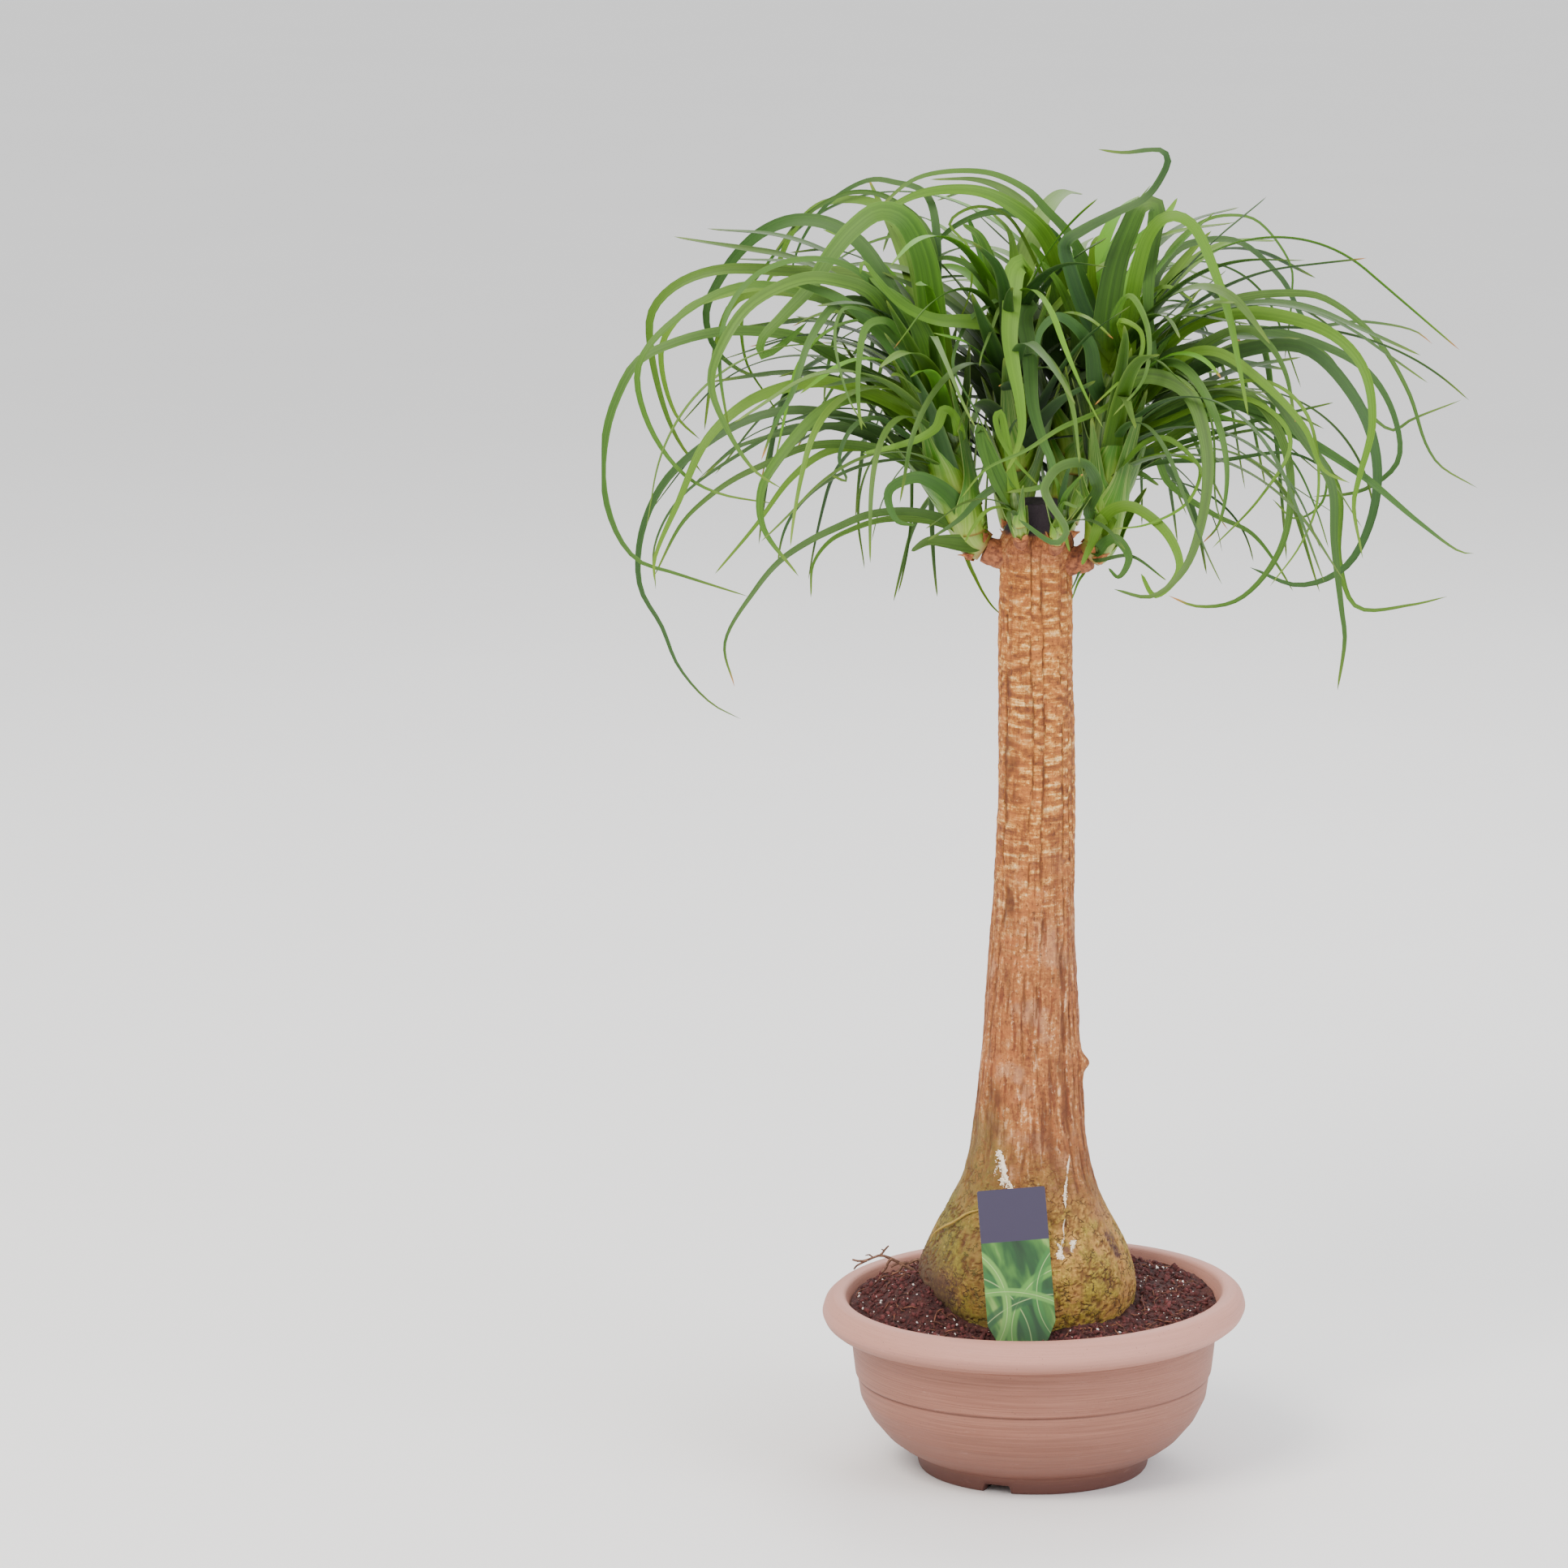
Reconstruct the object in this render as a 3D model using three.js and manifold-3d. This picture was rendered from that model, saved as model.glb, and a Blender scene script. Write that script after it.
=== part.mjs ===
// A potted ponytail palm: a bowl with soil, a swollen trunk, leafy shoots of long drooping straps and a
// plain plant label. Millimetres, +Z up, the origin at the middle of the pot's base.
import * as THREE from "three";
import { mergeVertices } from "three/addons/utils/BufferGeometryUtils.js";
import Module from "manifold-3d";

const wasm = await Module();
wasm.setup();

// Driving dimensions
const potHeight = 170;
const rimRadius = 200;
const footRadius = 107;
const potFloor = 9;
const potSides = 36;
const drain = { channels: 3, turn: 10, channelWide: 26, channelHigh: 8, holeRadius: 6, holeAt: 78 };
const gap = 0.4;
const soilAtWall = 150;
const soilAtBulb = 157;
const trunkSides = 18;
const trunkFoot = 118;
const label = { wide: 63.5, tall: 137, thick: 1.2, chamfer: 9, stem: 12, stemDeep: 30 };
const labelStands = { at: [-14, -114, 156], lean: 15.5, roll: 4.5 };
const cutBase = 902;
const cutTop = 925;
const knob = { radius: 10, at: [41, -8, 392] };

// The leaves: a blade's greatest thickness, the steps along its path, and the stretch that lies in the stem.
const keel = 1.5;
const pathSteps = 48;
const rootLength = 25;
const goldenShare = 0.618034;

// Blades of different shoots keep one small cell of space apart. A leaf set by rule is drawn again until it
// does, and a traced one swings further forward or back.
const clearCell = 5;
const cellReach = 200;
const cellSpan = 2 * cellReach;
const ruleAttempts = 16;
const depthShifts = [0, 14, -14, 28, -28, 42, -42, 60, -60, 80, -80, 100, -100, 120, -120];

const colours = {
  pot: "#b08a7c",
  soil: "#3a241c",
  trunk: "#9c7650",
  label: "#6a7f5c",
  leaf: "#4d8436",
  deepLeaf: "#2f5f28",
};

// The pot's outside from the foot to the rim, then its inside down to the floor, as radius and height.
const potOutside = [
  [footRadius, 0], [111.5, 17], [117, 18.5], [127, 24], [139, 33], [154, 51], [163.5, 70], [165.5, 89],
  [164, 92], [167, 95], [170.5, 111], [173, 133], [190, 137], [197, 144], [rimRadius, 153], [197, 163],
  [190, 169], [183, potHeight],
];
const potInside = [
  [176, 163], [171.5, 146], [168, 124], [162, 92], [158, 70], [147, 50], [132, 33], [120, 23],
  [103, potFloor],
];

// The trunk in the soil and above it, as height, radius and how far its middle stands from the pot's axis.
const buriedTrunk = [[trunkFoot, 84, 0], [147, 91, 0]];
const trunkShape = [
  [soilAtBulb, 93.6, 0], [169, 97.6, -1], [184, 98.1, -2], [200, 98, -5], [216, 94, -6], [232, 86.2, -7],
  [248, 77.4, -7], [263, 70.1, -6], [279, 63.7, -5], [295, 58.7, -5], [319, 53.7, -5], [358, 49.6, -5],
  [413, 44.6, -5], [475, 41.2, -4], [553, 38.3, -2], [630, 37.1, -1], [707, 35.2, -1], [790, 33.6, -2],
  [862, 33.2, -3], [880, 35.5, -3], [894, 33.5, -2], [cutBase, 27, -1], [916, 26, -1], [cutTop, 21, -1],
];

// How the picture was taken: the viewer stands before the plant, looks along +Y and a little down.
const view = { distance: 7000, height: 2068, across: -236, tilt: 11.4, focal: 9440, centre: 966 };

const crownReach = [412, 365];
const bigCrown = { sides: 835, middle: 925 };
const smallCrown = { sides: 850, middle: 872 };

// Each shoot: where its stub ends on the trunk, which way it sets off, the stub's radius, then its stem.
const shoots = {
  left: {
    foot: [-50, -2, 879], heading: [-0.93, 0, 0.36], stub: 13,
    stem: [[-61, -1, 887], [-70, 0, 914], [-79, 0, 940], [-86, 2, 975], [-92, 4, 1012], [-99, 6, 1052]],
    radii: [14, 18, 20, 20, 18, 14, 8],
    rule: { count: 12, from: 92, sweep: 176, length: [250, 440], rise: [14, 66], lowest: bigCrown },
  },
  right: {
    foot: [46, -12, 874], heading: [0.9, -0.25, 0.36], stub: 13,
    stem: [[55, -13, 884], [61, -9, 911], [64, -3, 950], [66, 2, 990], [69, 5, 1022], [78, 8, 1066]],
    radii: [14, 18, 19, 19, 18, 14, 8],
    rule: { count: 12, from: -88, sweep: 176, length: [250, 440], rise: [14, 66], lowest: bigCrown },
  },
  centre: {
    foot: [-17, 43, 886], heading: [-0.25, 0.78, 0.57], stub: 11,
    stem: [[-20, 51, 896], [-22, 53, 925], [-23, 46, 965], [-25, 42, 1005], [-28, 38, 1050], [-30, 34, 1088]],
    radii: [13, 17, 18, 18, 17, 13, 8],
    rule: { count: 20, from: 60, sweep: 330, length: [230, 380], rise: [8, 52], lowest: bigCrown },
  },
  back: {
    foot: [17, 45, 882], heading: [0.3, 0.85, 0.43], stub: 11,
    stem: [[22, 56, 889], [28, 68, 914], [34, 79, 950], [38, 86, 990], [43, 92, 1025], [47, 98, 1062]],
    radii: [13, 17, 18, 18, 17, 13, 8],
    rule: { count: 26, from: 18, sweep: 144, length: [300, 500], rise: [10, 68], lowest: bigCrown },
  },
  front_left: {
    foot: [-18, -37, 897], heading: [-0.1, -0.72, 0.68], stub: 7,
    stem: [[-19, -43, 904], [-22, -47, 922], [-25, -48, 942]],
    radii: [7, 7.5, 6.5, 4],
    rule: { count: 5, from: 190, sweep: 110, length: [90, 170], rise: [20, 70], lowest: smallCrown },
  },
  front_right: {
    foot: [15, -38, 892], heading: [0.12, -0.72, 0.68], stub: 7,
    stem: [[16, -44, 900], [19, -48, 916], [22, -50, 934]],
    radii: [7, 7.5, 6.5, 4],
    rule: { count: 5, from: 240, sweep: 120, length: [80, 150], rise: [15, 75], lowest: smallCrown },
  },
};

// Leaves read off the picture by hand: the shoot, the widest and the tip in millimetres, how far the tip
// stands behind (+) or before (-) its root, then the picture's columns and rows in turn.
const tracedLeaves = [
  ["left", 11, 1.2, -40, [
    1140, 500, 1033, 442, 981, 415, 891, 408, 823, 425, 785, 446, 761, 487, 747, 532, 743, 595, 761, 659,
    787, 691, 831, 706, 922, 735,
  ]],
  ["left", 12, 2, 60, [
    1150, 440, 1105, 365, 1060, 340, 981, 334, 881, 333, 829, 354, 803, 385, 801, 423, 817, 498,
    836, 543, 866, 584,
  ]],
  ["left", 14, 2, 90, [
    1110, 380, 1060, 300, 1020, 275, 978, 271, 942, 284, 914, 307, 888, 342, 870, 385, 883, 432,
    926, 462, 971, 457,
  ]],
  ["left", 28, 7, -60, [
    1150, 400, 1136, 310, 1112, 268, 1084, 260, 1054, 279, 1025, 312, 997, 355, 966, 388, 938, 420,
    938, 438, 966, 423, 994, 397,
  ]],
  ["left", 15, 1.5, -90, [
    1165, 560, 1143, 525, 1102, 497, 1050, 477, 1009, 470, 964, 478, 919, 497, 871, 542, 836, 618,
    806, 692, 808, 722,
  ]],
  ["left", 9, 1.2, 40, [
    1160, 580, 1105, 543, 1050, 527, 1015, 525, 974, 532, 933, 542, 905, 553, 864, 590,
  ]],
  ["left", 9, 1.2, -30, [
    1160, 595, 1098, 559, 1060, 549, 1022, 547, 988, 552, 947, 570, 905, 590, 871, 614, 840, 645,
    806, 710,
  ]],
  ["left", 9, 1.5, 20, [1165, 600, 1120, 563, 1060, 551, 1016, 558, 974, 590, 933, 645, 881, 707]],
  ["left", 8, 1.2, -70, [
    1167, 642, 1136, 632, 1102, 630, 1067, 635, 1033, 649, 998, 666, 961, 691, 931, 726, 893, 793,
    905, 846,
  ]],
  ["left", 7, 1.2, 70, [1164, 646, 1119, 639, 1084, 641, 1050, 652, 1022, 667, 1002, 695, 999, 736]],
  ["left", 14, 4, -55, [
    1183, 626, 1166, 606, 1146, 593, 1128, 588, 1098, 601, 1094, 614, 1106, 642, 1128, 647,
  ]],
  ["left", 20, 8, -25, [1195, 670, 1164, 667, 1143, 667, 1123, 679]],
  ["left", 11, 5, -110, [1182, 540, 1172, 508, 1163, 505, 1154, 526, 1133, 540, 1106, 549, 1063, 559]],
  ["left", 10, 1.5, -120, [
    1105, 400, 1060, 370, 1030, 375, 997, 421, 985, 456, 975, 487, 956, 520, 938, 567,
  ]],
  ["left", 15, 1.5, -100, [
    1120, 520, 1080, 492, 1044, 491, 1008, 510, 957, 568, 938, 604, 940, 649, 984, 710,
  ]],
  ["left", 10, 2, 120, [1100, 400, 1000, 365, 940, 360, 905, 372, 884, 420, 873, 490, 868, 530]],
  ["left", 8, 1.5, -140, [
    1110, 390, 1050, 330, 990, 319, 933, 338, 898, 380, 887, 432, 888, 468, 899, 534,
  ]],
  ["left", 15, 1.2, -160, [
    1120, 430, 1072, 360, 1030, 345, 990, 343, 926, 374, 893, 418, 876, 470, 895, 527, 930, 580,
    965, 603,
  ]],
  ["left", 8, 1.5, 130, [1145, 245, 1100, 224, 1070, 222, 1020, 251, 987, 298, 973, 340]],
  ["left", 7, 1.2, 60, [1145, 290, 1100, 247, 1072, 237, 1037, 240, 987, 270, 952, 314]],
  ["left", 14, 3, 160, [1120, 300, 1080, 252, 1037, 246, 1005, 255, 975, 288, 956, 331, 942, 352]],
  ["left", 9, 1.2, 10, [
    1130, 560, 1060, 520, 980, 505, 915, 520, 845, 566, 812, 604, 789, 663, 789, 724, 815, 771, 836, 821,
    876, 866, 913, 886,
  ]],
  ["left", 9, 1.2, -85, [
    1120, 420, 1000, 365, 930, 350, 870, 368, 800, 425, 785, 462, 801, 527, 841, 583, 883, 607, 957, 621,
  ]],
  ["left", 10, 2, 20, [
    1120, 430, 1010, 365, 950, 352, 900, 360, 848, 380, 818, 418, 815, 451, 834, 513, 862, 541,
  ]],
  ["left", 24, 10, -75, [1150, 500, 1125, 463, 1100, 425, 1064, 390, 1033, 368, 970, 345]],
  ["left", 30, 12, -45, [1155, 480, 1136, 411, 1115, 377, 1071, 342]],
  ["left", 6, 2, -60, [1130, 545, 1080, 515, 1052, 525, 1034, 565, 1043, 592, 1023, 585]],
  ["left", 9, 2, -150, [1125, 430, 1090, 395, 1068, 402, 1058, 450, 1058, 500, 1062, 530]],
  ["left", 5, 1.2, 95, [1060, 380, 1000, 352, 950, 360, 918, 380, 919, 444, 947, 491, 971, 529]],
  ["left", 6, 1.2, 90, [1130, 575, 1060, 535, 980, 525, 910, 560, 834, 618, 806, 675, 808, 726]],
  ["centre", 20, 7, -60, [
    1225, 400, 1189, 396, 1156, 394, 1123, 382, 1098, 364, 1078, 340, 1063, 322, 1060, 338,
  ]],
  ["centre", 12, 4, 10, [1231, 380, 1224, 353, 1205, 300, 1193, 268]],
  ["centre", 9, 2, -20, [1235, 385, 1215, 350, 1190, 325, 1160, 318, 1140, 335]],
  ["centre", 25, 2, -110, [
    1240, 372, 1262, 325, 1252, 330, 1246, 381, 1244, 414, 1248, 447, 1256, 491, 1259, 530, 1250, 562,
    1239, 583,
  ]],
  ["centre", 17, 2, -100, [
    1250, 400, 1270, 373, 1262, 388, 1268, 430, 1273, 501, 1285, 543, 1297, 575, 1290, 596, 1240, 607,
  ]],
  ["centre", 22, 6, -40, [1238, 400, 1222, 330, 1206, 290, 1186, 276]],
  ["centre", 16, 5, 60, [1240, 400, 1250, 330, 1243, 285, 1222, 262]],
  ["back", 10, 2, -60, [
    1345, 350, 1319, 291, 1288, 257, 1267, 235, 1219, 213, 1153, 213, 1119, 225, 1078, 262,
  ]],
  ["back", 20, 4, -80, [1310, 360, 1298, 310, 1275, 275, 1222, 240, 1181, 233, 1129, 240, 1070, 272]],
  ["back", 10, 1.5, -20, [
    1320, 350, 1305, 300, 1290, 283, 1256, 265, 1222, 261, 1173, 281, 1143, 316, 1140, 340,
  ]],
  ["back", 18, 7, -40, [1300, 440, 1297, 370, 1285, 320, 1268, 298]],
  ["back", 14, 5, -60, [1347, 400, 1345, 340, 1347, 300, 1354, 290]],
  ["back", 12, 4, -90, [1350, 400, 1343, 365, 1322, 306]],
  ["back", 16, 6, -110, [1330, 450, 1325, 400, 1305, 350, 1284, 322]],
  ["front_left", 8, 1.5, -75, [1249, 600, 1240, 598, 1224, 602, 1206, 615, 1183, 639, 1143, 666]],
  ["front_left", 10, 3, -20, [1235, 590, 1215, 545, 1207, 527, 1208, 545, 1222, 589, 1247, 632]],
  ["front_left", 7, 1.5, -30, [1240, 540, 1232, 508, 1227, 513, 1231, 535, 1247, 563, 1279, 598]],
  ["front_left", 5, 1.2, -20, [1246, 585, 1240, 550, 1250, 520, 1262, 512]],
  ["front_right", 6, 1.5, -10, [1307, 612, 1303, 596, 1294, 578]],
  ["front_right", 7, 1.5, -12, [1309, 612, 1313, 590, 1320, 568]],
  ["front_right", 6, 1.5, -20, [1312, 612, 1322, 598, 1334, 584]],
  ["right", 14, 2, -30, [
    1345, 400, 1318, 330, 1312, 300, 1335, 283, 1375, 262, 1412, 243, 1431, 218, 1439, 196, 1431, 185,
    1384, 188, 1353, 184,
  ]],
  ["right", 27, 12, -50, [
    1365, 430, 1372, 340, 1390, 285, 1408, 252, 1424, 252, 1420, 300, 1415, 350, 1416, 390, 1426, 456,
  ]],
  ["right", 14, 2, -110, [
    1385, 440, 1400, 340, 1415, 290, 1432, 270, 1449, 266, 1470, 278, 1503, 352, 1516, 396, 1527, 452,
    1538, 513,
  ]],
  ["right", 9, 1.2, 60, [
    1405, 430, 1425, 340, 1450, 308, 1484, 296, 1527, 298, 1579, 343, 1614, 398, 1679, 396, 1744, 408,
    1765, 424,
  ]],
  ["right", 9, 1.2, 20, [
    1410, 450, 1470, 400, 1518, 370, 1592, 361, 1631, 367, 1692, 413, 1735, 482, 1757, 547, 1774, 573,
    1820, 601,
  ]],
  ["right", 15, 1.5, -60, [
    1400, 470, 1422, 436, 1480, 393, 1557, 386, 1640, 411, 1679, 452, 1691, 520, 1674, 591, 1668, 621,
    1679, 688,
  ]],
  ["right", 12, 1.5, 120, [
    1420, 480, 1480, 430, 1527, 408, 1605, 417, 1683, 456, 1718, 513, 1722, 569, 1679, 604, 1618, 612,
  ]],
  ["right", 10, 1.2, 150, [
    1420, 480, 1530, 425, 1590, 420, 1631, 436, 1674, 495, 1716, 530, 1739, 517, 1800, 493,
  ]],
  ["right", 15, 2, -20, [
    1420, 480, 1540, 430, 1610, 430, 1672, 495, 1696, 565, 1690, 638, 1657, 699, 1601, 721, 1540, 699,
  ]],
  ["right", 13, 2, -90, [
    1410, 480, 1440, 440, 1484, 432, 1557, 474, 1605, 539, 1640, 595, 1644, 669, 1653, 751, 1657, 786,
    1648, 850,
  ]],
  ["right", 10, 1.2, 60, [
    1410, 560, 1520, 500, 1580, 520, 1647, 600, 1650, 690, 1672, 748, 1740, 745, 1783, 735,
  ]],
  ["right", 12, 1.2, -50, [
    1400, 540, 1458, 495, 1510, 493, 1596, 534, 1679, 586, 1748, 643, 1800, 680, 1816, 682,
  ]],
  ["right", 15, 3, -170, [
    1375, 520, 1388, 474, 1414, 463, 1462, 482, 1486, 547, 1484, 625, 1458, 703, 1418, 735, 1373, 726,
  ]],
  ["right", 11, 5, -80, [1358, 640, 1375, 626, 1397, 625, 1440, 660, 1453, 703, 1423, 734, 1406, 707]],
  ["right", 10, 4, -40, [1352, 680, 1362, 668, 1375, 664, 1391, 687, 1378, 711, 1366, 700]],
  ["right", 10, 1.5, -110, [
    1400, 520, 1500, 480, 1550, 495, 1588, 570, 1579, 673, 1527, 738, 1475, 747, 1440, 734,
  ]],
  ["right", 16, 10, -30, [1352, 660, 1367, 640, 1358, 640, 1346, 667, 1333, 696]],
  ["right", 11, 5, -65, [
    1342, 628, 1352, 600, 1335, 571, 1303, 577, 1287, 603, 1294, 620, 1314, 656, 1301, 669, 1255, 640,
  ]],
  ["right", 5, 1.2, -130, [1381, 492, 1348, 510, 1306, 528, 1264, 555, 1214, 579, 1184, 614]],
  ["right", 6, 1.5, 40, [1440, 550, 1540, 520, 1583, 510, 1643, 496]],
  ["right", 12, 2, -70, [1420, 480, 1490, 420, 1535, 405, 1560, 420, 1583, 457, 1596, 520]],
  ["right", 12, 1.5, -120, [1410, 490, 1462, 437, 1501, 434, 1560, 475, 1608, 528, 1631, 579, 1663, 595]],
  ["right", 13, 2, -40, [1410, 540, 1490, 500, 1542, 502, 1598, 533, 1635, 590, 1647, 640]],
  ["right", 7, 1.2, 70, [1420, 560, 1440, 595, 1496, 634, 1542, 657, 1573, 695, 1593, 728]],
  ["right", 6, 1.2, -100, [1430, 520, 1530, 490, 1580, 520, 1590, 550, 1552, 614, 1494, 675]],
  ["right", 9, 1.5, -140, [1400, 480, 1440, 446, 1466, 459, 1499, 516, 1512, 585, 1501, 647, 1481, 670]],
  ["right", 10, 2, -100, [1385, 570, 1415, 543, 1440, 541, 1478, 575, 1486, 600]],
  ["right", 5, 1.2, 50, [1370, 605, 1414, 573, 1504, 567, 1593, 559, 1660, 594]],
  ["right", 10, 2, 30, [1374, 612, 1400, 583, 1428, 598]],
  ["right", 6, 2, -40, [1400, 390, 1419, 360, 1439, 353, 1472, 371]],
  ["right", 15, 5, -80, [1352, 480, 1340, 420, 1303, 390, 1282, 408, 1277, 440]],
  ["right", 7, 1.2, -100, [1378, 430, 1372, 395, 1392, 364, 1414, 404, 1410, 465, 1371, 513]],
  ["right", 6, 1.2, -85, [1395, 450, 1380, 395, 1405, 408, 1405, 439, 1349, 499]],
];

const radians = (degrees) => (degrees * Math.PI) / 180;
const vector = (point) => new THREE.Vector3(...point);

// A picture column and row, at a chosen depth behind the pot's axis, as a point of the plant.
function fromPicture(column, row, depth) {
  const tilt = radians(view.tilt);
  const below = tilt + Math.atan((row - view.centre) / view.focal);
  const z = view.height - (view.distance + depth) * Math.tan(below);
  const away = (view.distance + depth) * Math.cos(tilt) + (view.height - z) * Math.sin(tilt);
  return new THREE.Vector3(view.across + ((column - view.centre) * away) / view.focal, depth, z);
}

// A seeded draw between 0 and 1, the same each run.
function seededDraw(seed) {
  let state = (Math.imul(seed, 2654435761) + 97) >>> 0;
  return () => {
    state = (Math.imul(state, 1664525) + 1013904223) >>> 0;
    return state / 4294967296;
  };
}

// A closed body through rings that each run counterclockwise about the way ahead. Each four-sided patch is
// split along the diagonal that bulges outward, so a twisted blade's faces never cross.
function loft(rings) {
  const sides = rings[0].length;
  const positions = [];
  const face = (...corners) => corners.forEach((corner) => positions.push(corner.x, corner.y, corner.z));
  const normal = new THREE.Vector3();
  const edge = new THREE.Vector3();
  for (let i = 0; i + 1 < rings.length; i += 1) {
    for (let k = 0; k < sides; k += 1) {
      const a = rings[i][k];
      const b = rings[i][(k + 1) % sides];
      const c = rings[i + 1][(k + 1) % sides];
      const d = rings[i + 1][k];
      normal.subVectors(b, a).cross(edge.subVectors(c, a));
      if (edge.subVectors(d, a).dot(normal) <= 0) {
        face(a, b, c);
        face(a, c, d);
      } else {
        face(a, b, d);
        face(b, c, d);
      }
    }
  }
  const first = rings[0];
  const last = rings[rings.length - 1];
  for (let k = 1; k + 1 < sides; k += 1) {
    face(first[0], first[k + 1], first[k]);
    face(last[0], last[k], last[k + 1]);
  }
  const geometry = new THREE.BufferGeometry();
  geometry.setAttribute("position", new THREE.Float32BufferAttribute(positions, 3));
  return geometry;
}

function solidOf(geometry) {
  const bare = geometry.clone();
  bare.deleteAttribute("normal");
  bare.deleteAttribute("uv");
  const merged = mergeVertices(bare, 1e-3);
  const corners = merged.index.array;
  const kept = [];
  for (let i = 0; i < corners.length; i += 3) {
    const [a, b, c] = [corners[i], corners[i + 1], corners[i + 2]];
    if (a !== b && b !== c && c !== a) kept.push(a, b, c);
  }
  const vertProperties = merged.attributes.position.array;
  return new wasm.Manifold(new wasm.Mesh({ numProp: 3, vertProperties, triVerts: new Uint32Array(kept) }));
}

function geometryOf(solid) {
  const mesh = solid.getMesh();
  const geometry = new THREE.BufferGeometry();
  geometry.setAttribute("position", new THREE.BufferAttribute(new Float32Array(mesh.vertProperties), 3));
  geometry.setIndex(new THREE.BufferAttribute(new Uint32Array(mesh.triVerts), 1));
  geometry.computeVertexNormals();
  return geometry;
}

// The largest single body of a solid, without loose scraps.
function oneBody(solid) {
  const bodies = solid.decompose();
  return bodies.reduce((largest, body) => (body.volume() > largest.volume() ? body : largest));
}

function ringAround(centre, ahead, radius, sides) {
  const across = new THREE.Vector3(0, 1, 0);
  if (Math.abs(ahead.y) > 0.9) across.set(1, 0, 0);
  const u = across.clone().cross(ahead).normalize();
  const v = ahead.clone().cross(u).normalize();
  return Array.from({ length: sides }, (_, k) => {
    const angle = (2 * Math.PI * k) / sides;
    const point = centre.clone().addScaledVector(u, radius * Math.cos(angle));
    return point.addScaledVector(v, radius * Math.sin(angle));
  });
}

function turned(profile, sides) {
  const points = profile.map(([radius, height]) => new THREE.Vector2(radius, height));
  const lathe = new THREE.LatheGeometry(points, sides);
  lathe.rotateX(Math.PI / 2);
  return lathe;
}

function makePot() {
  let pot = solidOf(turned([[0, 0], ...potOutside, ...potInside, [0, potFloor]], potSides));
  for (let i = 0; i < drain.channels; i += 1) {
    const angle = radians(drain.turn) + (2 * Math.PI * i) / drain.channels;
    const reach = footRadius + 10 - drain.holeAt;
    const channel = new THREE.BoxGeometry(reach, drain.channelWide, drain.channelHigh * 2);
    channel.translate(drain.holeAt + reach / 2, 0, 0);
    channel.rotateZ(angle);
    const hole = new THREE.CylinderGeometry(drain.holeRadius, drain.holeRadius, potFloor * 4, 8);
    hole.rotateX(Math.PI / 2);
    hole.translate(drain.holeAt + 8, 0, 0);
    hole.rotateZ(angle);
    pot = pot.subtract(solidOf(channel)).subtract(solidOf(hole));
  }
  return geometryOf(oneBody(pot));
}

const labelTurn = new THREE.Euler(radians(90 - labelStands.lean), 0, radians(labelStands.roll), "XYZ");
const labelPlace = new THREE.Matrix4().makeRotationFromEuler(labelTurn).setPosition(...labelStands.at);

// The label's card with chamfered lower corners, and its narrow stem.
function makeLabel() {
  const half = label.wide / 2;
  const stem = label.stem / 2;
  const outline = new THREE.Shape();
  outline.moveTo(-stem, -label.stemDeep);
  outline.lineTo(stem, -label.stemDeep);
  outline.lineTo(stem, 1);
  outline.lineTo(half - label.chamfer, 1);
  outline.lineTo(half, 1 + 2 * label.chamfer);
  outline.lineTo(half, label.tall);
  outline.lineTo(-half, label.tall);
  outline.lineTo(-half, 1 + 2 * label.chamfer);
  outline.lineTo(label.chamfer - half, 1);
  outline.lineTo(-stem, 1);
  return new THREE.ExtrudeGeometry(outline, { depth: label.thick, bevelEnabled: false });
}

function makeSoil() {
  const inside = potInside.slice(2).map(([radius, height]) => [radius - gap, height]).reverse();
  inside[0] = [potInside[8][0] - gap, potFloor + gap];
  const top = [
    [171.6 - gap, soilAtWall - 2], [150, soilAtWall], [122, soilAtWall + 3], [104, soilAtBulb - 1],
  ];
  const hole = [...buriedTrunk, trunkShape[0]].map(([z, radius]) => [radius + gap, z - gap]).reverse();
  hole.push([0, trunkFoot - gap]);
  let soil = solidOf(turned([[0, potFloor + gap], ...inside, ...top, ...hole], potSides));
  const slot = new THREE.BoxGeometry(label.stem + 2 * gap, label.stemDeep * 3, label.thick + 2 * gap);
  slot.translate(0, label.stemDeep / 2 - gap, label.thick / 2);
  slot.applyMatrix4(labelPlace);
  soil = soil.subtract(solidOf(slot));
  return geometryOf(oneBody(soil));
}

function trunkRadius(z) {
  for (let i = 1; i < trunkShape.length; i += 1) {
    const [lowZ, lowR] = trunkShape[i - 1];
    const [highZ, highR] = trunkShape[i];
    if (z <= highZ) return lowR + ((highR - lowR) * (z - lowZ)) / (highZ - lowZ);
  }
  return 0;
}

// Bark swells and hollows, growing from nothing at the soil and fading again at the sealed cut.
function barkSwell(angle, z) {
  const fade = Math.min(1, Math.max(0, (z - 165) / 40), Math.max(0, (890 - z) / 40));
  return fade * (0.022 * Math.sin(2 * angle + z / 55) + 0.018 * Math.sin(5 * angle - z / 38));
}

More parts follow.
